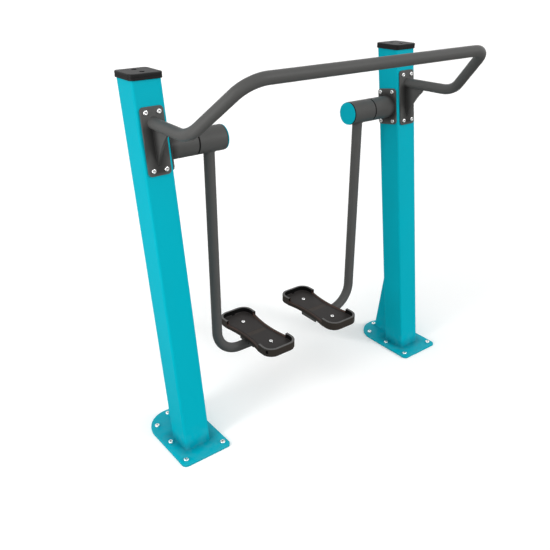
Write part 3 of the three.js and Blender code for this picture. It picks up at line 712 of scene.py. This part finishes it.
def carved(shape, cutters):
    """A shape less others, all closed."""
    things = []
    for part in (shape, *cutters):
        mesh = bpy.data.meshes.new("part")
        part.to_mesh(mesh)
        part.free()
        things.append(bpy.data.objects.new("part", mesh))
        scene.collection.objects.link(things[-1])
    for cutter in things[1:]:
        cut = things[0].modifiers.new("cut", "BOOLEAN")
        cut.operation = "DIFFERENCE"
        cut.solver = "EXACT"
        cut.object = cutter
    result = joined(settled(things[0]))
    for thing in things:
        mesh = thing.data
        bpy.data.objects.remove(thing)
        bpy.data.meshes.remove(mesh)
    return result


def box(width, depth, height, place):
    """A plain cutter about a place."""
    shape = bmesh.new()
    shape.faces.layers.float.new("edge")
    size = Matrix.Diagonal((width, depth, height, 1))
    bmesh.ops.create_cube(shape, size=1, matrix=Matrix.Translation(place) @ size)
    return shape


plastic_gloss_spread = (-0.05, 0.05)
plastic_polish = 0.14
trim_slack = 0.4


def moulded(name, colour, deep, trims, hollow, gloss, grit, shine):
    """Moulded plastic: fine grain, clouded shade, polished edges, a colour for each trim (some of them
    painted shade or painted highlight), matt hollows.
    """
    material = bare_material(name)
    tree = material.node_tree
    place = put(tree, "ShaderNodeTexCoord").outputs["Object"]
    grain = put(tree, "ShaderNodeGroup", {"Scale": grit}, node_tree=grain_group)
    wear = put(tree, "ShaderNodeGroup", {"Amount": 0.5}, node_tree=wear_group)
    for node in (grain, wear):
        tree.links.new(place, node.inputs["Place"])
    shade = blend(tree, grain.outputs["Cloud"], colour, deep)
    trim = put(tree, "ShaderNodeAttribute", attribute_name="trim").outputs["Fac"]
    for number, look in enumerate(trims, 1):
        shade = blend(tree, measure(tree, "COMPARE", trim, float(number), trim_slack), shade, look)
    glosses = [gloss + spread for spread in plastic_gloss_spread]
    rough = ranged(tree, grain.outputs["Relief"], *grain_span, *glosses)
    rough = measure(tree, "MULTIPLY_ADD", wear.outputs["Mask"], -plastic_polish, rough)
    rough = measure(tree, "MAXIMUM", rough, measure(tree, "COMPARE", trim, float(hollow), trim_slack))
    relief = put(tree, "ShaderNodeBump",
                 {"Strength": 0.35, "Distance": 0.00025, "Height": grain.outputs["Relief"]})
    skin = put(tree, "ShaderNodeBsdfPrincipled",
               {"Base Color": shade, "Roughness": rough, "Normal": relief.outputs[0],
                "Specular IOR Level": shine})
    put(tree, "ShaderNodeOutputMaterial", {"Surface": skin.outputs[0]})
    return material


# The walls and bottoms of the cap's holes are painted near-black: painted shade in the holes
black_plastic = moulded("black_cap_plastic", colour=srgb(27, 27, 27), deep=srgb(22, 22, 22),
                        trims=[srgb(4, 4, 4)], hollow=1, gloss=0.5, grit=1500.0, shine=0.2)
cap_profile = [(cap_lower_edge, 0), (0, cap_lower_edge)]
cap_profile += zip((0, cap_groove, cap_groove, 0), cap_groove_heights)
cap_profile += [(cap_edge * (1 - math.cos(a)), cap_height - cap_edge * (1 - math.sin(a)))
                for a in (math.radians(i * 15) for i in range(7))]
cap_hole = [(0, -cap_hole_depth), (cap_hole_radius, -cap_hole_depth), (cap_hole_radius, -cap_hole_edge),
            (cap_hole_radius + 2 * cap_hole_edge, cap_hole_edge), (0, cap_hole_edge)]


def in_cap_hole(middle, facing):
    """Whether a face of a cap is the wall or the bottom of one of its two holes."""
    drop = cap_height - middle.z
    in_depth = -cap_hole_slack < drop < cap_hole_depth + cap_hole_slack
    close = abs(middle.x) < cap_hole_reach and abs(abs(middle.y) - cap_hole_spacing / 2) < cap_hole_reach
    return in_depth and close and (facing.z < cap_top_facing or middle.z < cap_hole_level)


for label, side in sides:
    top_y = post_y + (post_top - plate_thickness) * post_slope
    loops = []
    for inset, z in cap_profile:
        width = cap_width - 2 * inset
        loops.append([(x, y, z) for x, y in rounded(width, width, cap_corner - inset, 10)])
    crown = lofted(loops, wears=range(6, 12))
    drills = [moved(turned(cap_hole, 40), Matrix.Translation((0, way * cap_hole_spacing / 2, cap_height)))
              for way in (-1, 1)]
    notches = [box(*cap_notch, (0, way * cap_width / 2, 0)) for way in (-1, 1)]
    inside = 2 * (post_half - post_wall) - cap_plug_gap
    plug = slab(rounded(inside, inside, cap_plug_corner), cap_plug, tidy_edge, 2)
    shear = Matrix.Identity(4)
    shear[1][2] = post_slope
    plug = moved(plug, shear, Matrix.Translation((0, 0, cap_plug_sunk - cap_plug)))
    cap = marked(joined(carved(crown, drills + notches), plug), in_cap_hole)
    piece(f"{label}_end_cap", moved(cap, Matrix.Translation((side * post_x, top_y, post_top))), black_plastic,
          "frame", [f"{label}_post_cap"])

# Handlebar brackets: a 6 mm flange on the front of each post, with a curved gusset welded on to carry the
# bar. Cut from plate and powder coated dark grey.
flange_thickness = 0.006
flange_ease = 0.0012
flange_face = post_half + seat_gap + flange_thickness
bar_radius = 0.019
bar_arm_height = 1.1895
bar_arm_reach = 0.1265
bar_root_y = post_y + (bar_arm_height - plate_thickness) * post_slope
pivot_height = 1.0935
pivot_up = (pivot_height - plate_thickness) / math.cos(post_lean)
pivot_y = post_y + (pivot_height - plate_thickness) * post_slope
bar_flange = (0.082, 0.217, 0.013)
bar_flange_up = (1.1245 - plate_thickness) / math.cos(post_lean)
gusset_thickness = 0.010
gusset_reach = 0.082
gusset_length = 0.030
gusset_edge = 0.005
gusset_hollow = 0.009
gusset_sunk = 0.002
gusset_overlap = 0.004
gusset_ease = 0.0015
face_bead_rise = 0.0006
under_bar_gap = 0.0002
gusset_bead_foot = 0.003
gusset_bead_head = 0.018

hub_radius = 0.0445
hub_seam = 0.003
hub_length = 0.111
stub_end = 0.1119
cap_seam = 0.0025
stub_reach = post_half + stub_end

# Painted shade of the grey pieces: darker beside the gusset, round the root of the stub and at both ends of
# the hub, where shade falls
gusset_shade_foot = 1.04
gusset_shade_reach = 0.042
gusset_shade_fade = 2.0
stub_shade_reach = 0.030
seam_shade_reach = 0.003
joint_shade_depth = 0.75
joint_shade_group, given, end = shader_group("joint_painted_shade", {"Place": ()}, ("Mask",))
x, y, z = put(joint_shade_group, "ShaderNodeSeparateXYZ", {0: given["Place"]}).outputs
inward = measure(joint_shade_group, "SUBTRACT", post_x, measure(joint_shade_group, "ABSOLUTE", x))
up = measure(joint_shade_group, "SUBTRACT", z, plate_thickness)
ahead = measure(joint_shade_group, "SUBTRACT", measure(joint_shade_group, "MULTIPLY", up, post_slope), y)
ahead = measure(joint_shade_group, "ADD", ahead, post_y - flange_face / math.cos(post_lean))
beside = measure(joint_shade_group, "SUBTRACT", measure(joint_shade_group, "ABSOLUTE", inward), gusset_thickness / 2)
below = measure(joint_shade_group, "SUBTRACT", z, bar_arm_height - bar_radius)
above = measure(joint_shade_group, "SUBTRACT", gusset_shade_foot, z)
over = measure(joint_shade_group, "MULTIPLY", measure(joint_shade_group, "MAXIMUM", below, above), gusset_shade_fade)
gusset_shade = near(joint_shade_group, gusset_shade_reach, ahead, beside, over)
y_out = measure(joint_shade_group, "SUBTRACT", y, pivot_y)
z_out = measure(joint_shade_group, "SUBTRACT", z, pivot_height)
out = measure(joint_shade_group, "SQRT", measure(joint_shade_group, "ADD", measure(joint_shade_group, "MULTIPLY", y_out, y_out),
                                           measure(joint_shade_group, "MULTIPLY", z_out, z_out)))
out = measure(joint_shade_group, "SUBTRACT", out, hub_radius)
stub_shade = near(joint_shade_group, stub_shade_reach, out, measure(joint_shade_group, "SUBTRACT", inward, flange_face))
painted_shade = measure(joint_shade_group, "MAXIMUM", gusset_shade, stub_shade)
painted_shade = measure(joint_shade_group, "MULTIPLY", painted_shade, joint_shade_depth)
for seam, width in ((stub_reach, hub_seam), (stub_reach + hub_seam + hub_length, cap_seam)):
    gap = measure(joint_shade_group, "SUBTRACT", inward, seam + width / 2)
    gap = measure(joint_shade_group, "SUBTRACT", measure(joint_shade_group, "ABSOLUTE", gap), width / 2)
    painted_shade = measure(joint_shade_group, "MAXIMUM", painted_shade, near(joint_shade_group, seam_shade_reach, gap, out))
joint_shade_group.links.new(painted_shade, end["Mask"])

# The grey coat's near-black is painted shade beside the gussets, round the stubs and in the seams of the hubs
grey_coat = powder_coat(
    "grey_powder_coat", colour=srgb(86, 86, 85), deep=srgb(81, 81, 80), rubbed=srgb(104, 104, 102),
    painted_shade=srgb(30, 30, 30), painted_shade_group=joint_shade_group, gloss=0.42, peel=1100.0, shine=0.12)
to_front = Matrix.Translation((0, 0, bar_flange_up)) @ Matrix.Rotation(math.pi / 2, 4, "X")


def curve(start, pull, finish, steps):
    """Points of a quadratic curve, both ends included."""
    parts = [i / steps for i in range(steps + 1)]
    return [(1 - t) ** 2 * start + 2 * t * (1 - t) * pull + t * t * finish for t in parts]


for label, side in sides:
    upright = post_frame(side)
    to_local = upright.inverted()
    rear = to_local @ Vector((side * post_x, bar_root_y, bar_arm_height))
    front = to_local @ Vector((side * post_x, post_y - bar_arm_reach, bar_arm_height))

    def axis_up(reach):
        """The height of the bar's axis at a reach from the middle of the post."""
        return rear.z + (front.z - rear.z) * (-reach - rear.y) / (front.y - rear.y)

    outer = flange_face + gusset_reach
    heel = Vector((outer, axis_up(outer) - bar_radius - gusset_edge))
    toe = Vector((flange_face, bar_flange_up - bar_flange[1] / 2 + gusset_length))
    across = toe - heel
    pull = (heel + toe) / 2 + Vector((across.y, -across.x)).normalized() * 2 * gusset_hollow
    root = flange_face - gusset_sunk
    outline = [(root, toe.y), *[tuple(p) for p in curve(toe, pull, heel, 16)],
               (outer, axis_up(outer) - bar_radius + gusset_overlap),
               (root, axis_up(flange_face) - bar_radius + gusset_overlap)]
    flange = moved(slab(rounded(*bar_flange), flange_thickness, flange_ease), to_front,
                   Matrix.Translation((0, 0, post_half + seat_gap)))
    gusset = moved(slab(outline, gusset_thickness, gusset_ease), Matrix.Rotation(-math.pi / 2, 4, "Z"),
                   Matrix.Rotation(math.pi / 2, 4, "X"), Matrix.Translation((0, 0, -gusset_thickness / 2)))
    face = -flange_face - face_bead_rise
    collar = []
    for i in range(64):
        angle = math.tau * i / 64
        x, up = (bar_radius + bead_rise) * math.cos(angle), (bar_radius + bead_rise) * math.sin(angle)
        collar.append((x, face, axis_up(flange_face) + up / math.cos(post_lean)))
    beads = [weld(collar, grey_coat, seed=7.0 + side, closed=True)]
    for way in (-1, 1):
        x = way * (gusset_thickness / 2 + bead_aside)
        up_flange = [(x, face, toe.y + gusset_bead_foot), (x, face, axis_up(flange_face) - gusset_bead_head)]
        under_bar = [(x, -reach, axis_up(reach) - bar_radius - under_bar_gap)
                     for reach in (flange_face + bead_start, outer - gusset_bead_foot)]
        beads += [weld(up_flange, grey_coat, seed=9.0 + way), weld(under_bar, grey_coat, seed=12.0 + way)]
    piece(f"{label}_bar_carrier", moved(joined(flange, gusset, *beads), upright), grey_coat, "frame",
          [f"{label}_bar_bracket"])

# Handlebar: one 38 mm steel tube, bent four times, from one post to the other.
# Its level arms are welded to the flanges, and it rises and leans in to the cross bar.
bar_splay = 0.010
bar_rise = 0.1765
bar_reach = 0.313
bar_inset = 0.0775
bar_low_bend = 0.115
bar_high_bend = 0.088
bar_sunk = 0.0045

tube_tree, given, end = geometry_tree(
    "bent_tube", {"Radius": "Float", "Sides": "Int", "Bend steps": "Int", "Material": "Material"})
run = put(tube_tree, "GeometryNodeMeshToCurve", {"Mesh": given["Shape"]}).outputs[0]
bend = put(tube_tree, "GeometryNodeInputNamedAttribute", {"Name": "bend"}, data_type="FLOAT").outputs[0]
run = put(tube_tree, "GeometryNodeFilletCurve", {"Curve": run, "Count": given["Bend steps"], "Radius": bend},
          mode="POLY").outputs[0]
ring = put(tube_tree, "GeometryNodeCurvePrimitiveCircle",
           {"Resolution": given["Sides"], "Radius": given["Radius"]})
tube = put(tube_tree, "GeometryNodeCurveToMesh",
           {"Curve": run, "Profile Curve": ring.outputs[0], "Fill Caps": True}).outputs[0]
close_tree(tube_tree, tube, given["Material"], end)


def bent_tube(points, bends, radius, material):
    """A bent tube through points, as a mesh."""
    return grown(line(points, bend=bends), tube_tree, Radius=radius, Sides=48, Material=material,
                 **{"Bend steps": 18})


def bar_arm(side):
    """The corners of one half of the bar, from its flange to the cross bar."""
    upright = post_frame(side)
    to_local = upright.inverted()
    low_bend = Vector((side * (post_x + bar_splay), post_y - bar_arm_reach, bar_arm_height))
    rear = to_local @ Vector((side * post_x, bar_root_y, bar_arm_height))
    front = to_local @ low_bend
    seat = (bar_sunk - flange_face - rear.y) / (front.y - rear.y)
    return [upright @ rear.lerp(front, seat), low_bend,
            Vector((side * (post_x - bar_inset), post_y - bar_reach, bar_arm_height + bar_rise))]


bar_mesh = bent_tube(bar_arm(-1) + bar_arm(1)[::-1],
                     [0, bar_low_bend, bar_high_bend, bar_high_bend, bar_low_bend, 0], bar_radius, grey_coat)
piece("handlebar_tube", joined(bar_mesh), grey_coat, "frame", ["handlebar"])

# Pivot brackets: a flange on the inner side of each post, with a stub tube that is as thick as the hub.
# A web in the end of the stub holds the pin. Welded and powder coated dark grey.
pivot_flange = (0.096, 0.144, 0.014)
stub_wall = 0.005
stub_web = 0.012
stub_boss = (0.0215, 0.003)
pin_bore = 0.0125
round_edge = 0.0012
eased_share = 0.4


def eased(profile, width, steps=4):
    """A closed profile with its corners rounded, and the numbers of the new runs."""
    points, wears = [], []
    for i, corner in enumerate(profile):
        here, before, after = Vector(corner), Vector(profile[i - 1]), Vector(profile[(i + 1) % len(profile)])
        back, on = before - here, after - here
        reach = min(width, back.length * eased_share, on.length * eased_share)
        wears += range(len(points), len(points) + steps)
        points += curve(here + back.normalized() * reach, here, here + on.normalized() * reach, steps)
    return [tuple(p) for p in points], wears


def to_inner(side):
    """Turns what is drawn towards +Z so that it faces out of the inner side of a post, its Y up the post."""
    return (Matrix.Translation((0, 0, pivot_up)) @ Matrix.Rotation(-side * math.pi / 2, 4, "Y")
            @ Matrix.Rotation(math.pi / 2, 4, "Z"))


def loop(radius, height, count):
    """Points of a circle about Z, for a weld bead to follow."""
    turns = [math.tau * i / count for i in range(count)]
    return [(radius * math.cos(angle), radius * math.sin(angle), height) for angle in turns]


stub_bore = hub_radius - stub_wall
stub_profile, stub_wears = eased([
    (stub_bore, seat_gap), (hub_radius, seat_gap), (hub_radius, stub_end), (stub_boss[0], stub_end),
    (stub_boss[0], stub_end + stub_boss[1]), (pin_bore, stub_end + stub_boss[1]),
    (pin_bore, stub_end - stub_web), (stub_bore, stub_end - stub_web)], round_edge)
for label, side in sides:
    seat = Matrix.Translation((0, 0, post_half))
    flange = moved(slab(rounded(*pivot_flange), flange_thickness, flange_ease),
                   Matrix.Translation((0, 0, seat_gap)))
    stub = turned(stub_profile, 128, stub_wears)
    foot = loop(hub_radius + bead_rise, seat_gap + flange_thickness + face_bead_rise, 96)
    body = joined(flange, stub, weld(foot, grey_coat, seed=20.0 + side, closed=True))
    piece(f"{label}_pivot_carrier", moved(body, post_frame(side), to_inner(side), seat), grey_coat, "frame",
          [f"{label}_pivot_bracket"])

# Flange screws: bright button heads with a hexagon socket, four in every flange,
# run into threaded inserts behind the wall of the post.
flange_head = (0.00825, 0.005)
flange_shank = 0.005
insert_radius = 0.0075
insert_depth = 0.0229
insert_face = 0.0109
bar_screw_inset = (0.0176, 0.0174)
pivot_screw_inset = (0.0159, 0.0135)
insert_shank = [(0, -insert_depth), (insert_radius, -insert_depth), (insert_radius, -insert_face),
                (flange_shank, -insert_face), (flange_shank, 0)]
spots = []
for label, side in sides:
    places = ((post_frame(side) @ to_front, bar_flange, bar_screw_inset),
              (post_frame(side) @ to_inner(side), pivot_flange, pivot_screw_inset))
    for u in (-1, 1):
        for v in (-1, 1):
            for turn, plate, inset in places:
                x, y = u * (plate[0] / 2 - inset[0]), v * (plate[1] / 2 - inset[1])
                spot = turn @ Vector((x, y, flange_face + seat_gap))
                spots.append((spot, turn.to_3x3() @ Vector((0, 0, 1))))
screw_nodes = [f"{label}_{kind}_screw_{i}"
               for label, _ in sides for kind in ("bar", "pivot") for i in range(1, 5)]
fasten("flange_screws", turned(button_head(*flange_head, insert_shank), 36), spots, stainless, "frame",
       screw_nodes, 23)

# Pins and bearings: a ground steel pin and two sealed ball bearings inside each hub.
# Only a sliver of them can be seen, in the seam between stub and hub.
ground_steel = bright_metal("ground_steel", colour=(0.56, 0.57, 0.58, 1), dull=(0.42, 0.43, 0.45, 1),
                            gloss=0.3, lay=2200.0)
for label, _ in sides:
    for kind in ("pivot_pin", "outer_bearing", "inner_bearing"):
        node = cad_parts[f"{label}_{kind}"]
        node.data.materials.clear()
        node.data.materials.append(ground_steel)

# Hubs: thick steel tube that turns in line with the stub, bored at each end for a bearing.
# Turned, then powder coated dark grey with the foot arm that hangs from it.
hub_start = post_x - stub_reach - hub_seam
hub_seat = 0.0363
hub_bore = 0.0323
outer_seat_end = 0.0176
inner_seat_end = 0.0806
hub_profile, hub_wears = eased([
    (hub_seat, 0), (hub_radius, 0), (hub_radius, hub_length), (hub_seat, hub_length),
    (hub_seat, inner_seat_end), (hub_bore, inner_seat_end), (hub_bore, outer_seat_end),
    (hub_seat, outer_seat_end)], round_edge)


def pivot_frame(side):
    """The place of a hub: its outboard end at 0, its Z along the pivot towards the middle of the walker."""
    place = Matrix.Translation((side * hub_start, pivot_y, pivot_height))
    return place @ Matrix.Rotation(-side * math.pi / 2, 4, "Y")


for label, side in sides:
    piece(f"{label}_hub_tube", moved(turned(hub_profile, 128, hub_wears), pivot_frame(side)), grey_coat,
          f"{label}_leg", [f"{label}_hub"])

# Hub caps: flat discs that close the inboard ends of the hubs.
# Each is turned with a spigot that presses into the mouth of the hub, and powder coated teal.
hub_cap_face = 0.117
hub_cap_back = 0.1135
hub_cap_rim = hub_radius - 0.0012
hub_cap_edge = 0.0012
hub_cap_round = 0.0013
hub_cap_ease = 0.0004
hub_cap_swell = 0.0002
spigot_radius = 0.036
spigot_bore = 0.032
spigot_end = 0.1065
disc_profile = [
    (0, hub_cap_back), (spigot_bore, hub_cap_back), (spigot_bore, spigot_end), (spigot_radius, spigot_end),
    (spigot_radius, hub_cap_back), (hub_cap_rim - hub_cap_ease, hub_cap_back),
    (hub_cap_rim, hub_cap_back + hub_cap_ease), (hub_cap_rim, hub_cap_face - hub_cap_edge),
    (hub_cap_rim - hub_cap_ease, hub_cap_face - hub_cap_ease), (hub_cap_rim - hub_cap_round, hub_cap_face),
    (0, hub_cap_face + hub_cap_swell)]
for label, side in sides:
    piece(f"{label}_hub_disc", moved(turned(disc_profile, 96, (6, 7, 8)), pivot_frame(side)), teal_coat,
          f"{label}_leg", [f"{label}_hub_cap"])

# Foot arms: 40 mm steel tube, welded under the hub and bent in at the bottom to a folded saddle,
# which the footplate is screwed to. Powder coated dark grey.
arm_x = hub_start - hub_cap_face / 2
arm_radius = 0.020
arm_bend = 0.103
foot_x = 0.1662
foot_y = pivot_y - 0.006
tray_floor = 0.261
tray_base = 0.014
saddle_top = tray_floor - tray_base - seat_gap
saddle_thickness = 0.008
saddle_size = (0.104, 0.2257, 0.012)
saddle_ease = 0.0014
arm_root = 0.0385
arm_sunk = 0.001
arm_foot = saddle_top - saddle_thickness + arm_sunk - arm_radius
arm_end = foot_x - 0.016
cheek = (0.006, 0.094, 0.022)
cheek_corner = 0.002
cheek_drop = 0.014
arm_bead_rise = 0.0006
hub_bead_rise = 0.0004
saddle_bead_aside = 0.0075
saddle_bead_run = (foot_x - 0.013, foot_x + saddle_size[0] / 2 - 0.002)
for label, side in sides:
    corners = [(side * arm_x, pivot_y, pivot_height - arm_root), (side * arm_x, pivot_y, arm_foot),
               (side * arm_end, pivot_y, arm_foot)]
    here = Matrix.Translation((side * foot_x, foot_y, saddle_top - saddle_thickness))
    parts = [bent_tube(corners, [0, arm_bend, 0], arm_radius, grey_coat),
             moved(slab(rounded(*saddle_size), saddle_thickness, saddle_ease), here)]
    for way in (-1, 1):
        fold = slab(rounded(cheek[0], cheek[1], cheek_corner, 4), cheek[2], saddle_ease)
        fold_x = way * (saddle_size[0] / 2 - cheek[0] / 2)
        parts.append(moved(fold, here, Matrix.Translation((fold_x, 0, -cheek_drop))))
    collar = []
    for x, y, _ in loop(arm_radius + arm_bead_rise, 0, 64):
        under_hub = pivot_height - math.sqrt((hub_radius + hub_bead_rise) ** 2 - y * y)
        collar.append((side * arm_x + x, pivot_y + y, under_hub))
    parts.append(weld(collar, grey_coat, seed=30.0 + side, closed=True))
    for way in (-1, 1):
        run = [(side * x, pivot_y + way * saddle_bead_aside, saddle_top - saddle_thickness - face_bead_rise)
               for x in saddle_bead_run]
        parts.append(weld(run, grey_coat, seed=33.0 + way))
    piece(f"{label}_foot_lever", joined(*parts), grey_coat, f"{label}_leg",
          [f"{label}_foot_arm"])

# Footplates: waisted trays moulded in grained plastic, with high rims round the toe and the heel and a
# grooved lip along the waist, so that a shoe can't slide off. A shallow band crosses the middle of the floor.
tray_half = 0.075
tray_waist = 0.063
tray_end = 0.184
tray_corner = 0.044
tray_cut = 0.112
rim_start = tray_cut + 0.0001
rim_height = 0.021
rim_wall = 0.0105
rim_hook = 0.0025
rim_hook_run = 0.012
rim_round = 0.0032
lip_height = 0.004
lip_wall = 0.011
lip_round = 0.0012
tray_edge = 0.003

# The looks of a tray's faces by number: the rim tops get a painted highlight over their rubbed edges, and the
# inner walls and slots get painted shade and are the matt ones
plain_face, moulding_line, rubbed_rim_highlight, shade_painted_wall, outer_wall, worn_band = range(6)
tray_colours = [srgb(84, 60, 51), srgb(92, 91, 90), srgb(9, 8, 8), srgb(50, 45, 41), srgb(58, 52, 48)]
footplate_plastic = moulded("footplate_plastic", colour=srgb(52, 49, 48), deep=srgb(47, 44, 43),
                            trims=tray_colours, hollow=shade_painted_wall, gloss=0.5, grit=1300.0, shine=0.12)
waist_hollow = tray_half - tray_waist
waist_bow = (tray_cut ** 2 + waist_hollow ** 2) / (2 * waist_hollow)


def tray_outline():
    """Points round the tray, each with its inward direction and whether it carries a rim."""
    half = []
    for i in range(33):
        y = -tray_cut + 2 * tray_cut * i / 32
        out = math.sqrt(waist_bow ** 2 - y * y)
        half.append(((tray_waist + waist_bow - out, y), (-out / waist_bow, -y / waist_bow), False))
    straight = tray_end - tray_corner
    for i in range(9):
        half.append(((tray_half, rim_start + (straight - tray_cut) * i / 8), (-1, 0), True))
    for i in range(1, 19):
        a = math.radians(5 * i)
        c = (tray_half - tray_corner, straight)
        half.append(((c[0] + tray_corner * math.cos(a), c[1] + tray_corner * math.sin(a)),
                     (-math.cos(a), -math.sin(a)), True))
    toe_half = tray_half - tray_corner
    for i in range(1, 8):
        half.append(((toe_half - 2 * toe_half * i / 8, tray_end), (0, -1), True))
    for i in range(18):
        a = math.radians(90 + 5 * i)
        c = (tray_corner - tray_half, straight)
        half.append(((c[0] + tray_corner * math.cos(a), c[1] + tray_corner * math.sin(a)),
                     (-math.cos(a), -math.sin(a)), True))
    for i in range(9):
        half.append(((-tray_half, straight - (straight - rim_start) * i / 8), (1, 0), True))
    return half + [((-x, -y), (-u, -v), rim) for (x, y), (u, v), rim in half]


def tray_profile(rim, hook):
    """Insets and heights of the tray's wall from its underside in to its floor, one point for each ring."""
    if rim:
        top, wall, soft = tray_base + rim_height, rim_wall + hook, rim_round
        angles = [math.radians(a) for a in range(0, 91, 18)]
        bend = [(soft * (1 - math.cos(a)), soft * (1 - math.sin(a))) for a in angles]
        crown = [(inset, top - drop) for inset, drop in bend]
        crown += [(wall - inset, top - drop) for drop, inset in bend]
        walls = [(wall, top - 0.008), (wall, tray_base + 0.004), (wall + 0.0006, tray_base + 0.0015),
                 (wall + 0.0022, tray_base)]
    else:
        top, soft = tray_base + lip_height, lip_round
        crown = [(0, top - soft), (soft * 0.1, top - soft * 0.5), (soft * 0.4, top - soft * 0.15),
                 (soft, top), (0.0036, top), (0.0040, top - 0.0003), (0.0043, top - 0.0011),
                 (0.0058, top - 0.0011), (0.0061, top - 0.0003), (0.0065, top), (0.0078, top),
                 (0.0084, top - 0.0003)]
        walls = [(0.0092, top - 0.0016), (0.0100, tray_base + 0.0012), (0.0106, tray_base + 0.0002),
                 (lip_wall, tray_base)]
    groove = tray_base - 0.0008
    pad = [(0.0145, tray_base), (0.0149, groove), (0.0159, groove), (0.0163, tray_base)]
    return [(tray_edge, 0), (tray_edge * 0.3, tray_edge * 0.3), (0, tray_edge), *crown, *walls, *pad]


def tray_shape():
    """The tray about its middle, its underside at 0."""
    rings = None
    for (x, y), (u, v), rim in tray_outline():
        past = abs(y) - tray_cut
        hook = rim_hook * max(0.0, 1 - past / rim_hook_run) ** 2 if rim and abs(v) < 0.01 else 0.0
        column = [(x + u * inset, y + v * inset, z) for inset, z in tray_profile(rim, hook)]
        rings = rings or [[] for _ in column]
        for ring, point in zip(rings, column):
            ring.append(point)
    return lofted(rings, wears=range(3, 14))


tray_spacing = 0.1947
screw_seat_radius = 0.0105
screw_seat_depth = 0.001
screw_seat_rise = 0.0008
tray_pocket = (0.0085, 0.018, 0.0150)
tray_pocket_inset = 0.0063
tray_pocket_height = 0.026
tray_slot = (0.009, 0.010, 0.014)
tray_slot_height = 0.0205
tray_slot_turn = math.radians(-30)
slot_depths = (0.0005, 0.006)
slot_heights = (0.012, 0.029)
tray_band = (0.088, 0.026, 0.0009)

# Limits that tell the tray's faces apart: how upright each one is, and how near it lies to an edge
sheer, steep, crowned, level, endways = 0.7, 0.75, 0.6, 0.97, 0.999
face_slack = 0.0002
band_slack = 0.001
wall_foot = 0.001
lip_foot = 0.0015
end_skin = 0.002
underside_edge = 0.002
rim_crown = 0.004


def tray_trim(middle, facing):
    """The look of a face of the tray, by where it lies and which way it faces."""
    x, y, z = middle
    rim = abs(y) > tray_cut - face_slack
    from_round = tray_corner - math.hypot(abs(x) - tray_half + tray_corner, abs(y) - tray_end + tray_corner)
    past_waist = max(abs(y) - tray_cut, 0) * (1 if y > 0 else -1)
    outward = facing.x * x + facing.y * past_waist > 0
    in_slot = slot_depths[0] < from_round < slot_depths[1] and slot_heights[0] < z < slot_heights[1]
    # The faces in the corner slot are painted near-black: painted shade
    if abs(y) > tray_end - tray_corner and in_slot:
        return shade_painted_wall
    if z < tray_base - face_slack:
        if abs(facing.z) < sheer and z > underside_edge:
            return outer_wall
        in_band = z > tray_base - band_slack and abs(y) < tray_band[1] / 2 + band_slack
        return worn_band if in_band else plain_face
    # The rim tops are painted lighter: a painted highlight over the rubbed plastic
    if rim and facing.z > crowned and z > tray_base + rim_height - rim_crown:
        return rubbed_rim_highlight
    # The inner walls of the rims are painted near-black as painted shade; the outer walls keep their own
    # colour
    if rim and abs(facing.z) < steep and z > tray_base + wall_foot:
        outside = outward and abs(facing.y) < endways or abs(y) > tray_end - end_skin
        return outer_wall if outside else shade_painted_wall
    if rim or z <= tray_base + face_slack:
        return plain_face
    if facing.z < level and z > tray_base + lip_foot:
        return moulding_line
    return outer_wall if outward else plain_face


screw_seat = [(0, -screw_seat_depth), (screw_seat_radius, -screw_seat_depth),
              (screw_seat_radius, screw_seat_rise), (0, screw_seat_rise)]
for label, side in sides:
    cutters = [moved(turned(screw_seat, 40), Matrix.Translation((0, way * tray_spacing / 2, tray_base)))
               for way in (-1, 1)]
    for way in (-1, 1):
        for end_way in (-1, 1):
            pocket_x = way * (tray_half - tray_pocket_inset)
            cutters.append(box(*tray_pocket, (pocket_x, end_way * tray_cut, tray_pocket_height)))
    corner_turn = Matrix.Rotation(side * tray_slot_turn, 4, "Z")
    corner_spot = Matrix.Translation((side * (tray_half - tray_corner), tray_corner - tray_end, 0))
    slot = box(*tray_slot, (side * tray_corner, 0, tray_slot_height))
    cutters += [moved(slot, corner_spot, corner_turn), box(*tray_band, (0, 0, tray_base))]
    tray = marked(carved(tray_shape(), cutters), tray_trim)
    place = Matrix.Translation((side * foot_x, foot_y, tray_floor - tray_base))
    piece(f"{label}_foot_tray", moved(tray, place), footplate_plastic, f"{label}_leg",
          [f"{label}_footplate"])

# Footplate screws: two bright button heads in each tray, in shallow seats in its floor.
# Each runs through the tray and the saddle to a nut below.
tray_head = (0.008, 0.0045)
tray_screw_sunk = 0.0008
shank_radius = 0.004
shank_tip = 0.0314
shank_taper = (0.0004, 0.0006)
nut_bottom = 0.0299
nut_top = 0.0229
nut_sides = hexagon(0.013)
tray_shank = [(0, -shank_tip), (shank_radius - shank_taper[0], -shank_tip),
              (shank_radius, shank_taper[1] - shank_tip), (shank_radius, -nut_bottom),
              (nut_sides, -nut_bottom), (nut_sides, -nut_top), (shank_radius, -nut_top), (shank_radius, 0)]
for label, side in sides:
    spots = [((side * foot_x, foot_y + way * tray_spacing / 2, tray_floor - tray_screw_sunk), (0, 0, 1))
             for way in (-1, 1)]
    fasten(f"{label}_tray_screws", turned(button_head(*tray_head, tray_shank), 36), spots,
           stainless, f"{label}_leg", [f"{label}_foot_screw_{i}" for i in (1, 2)], 31)
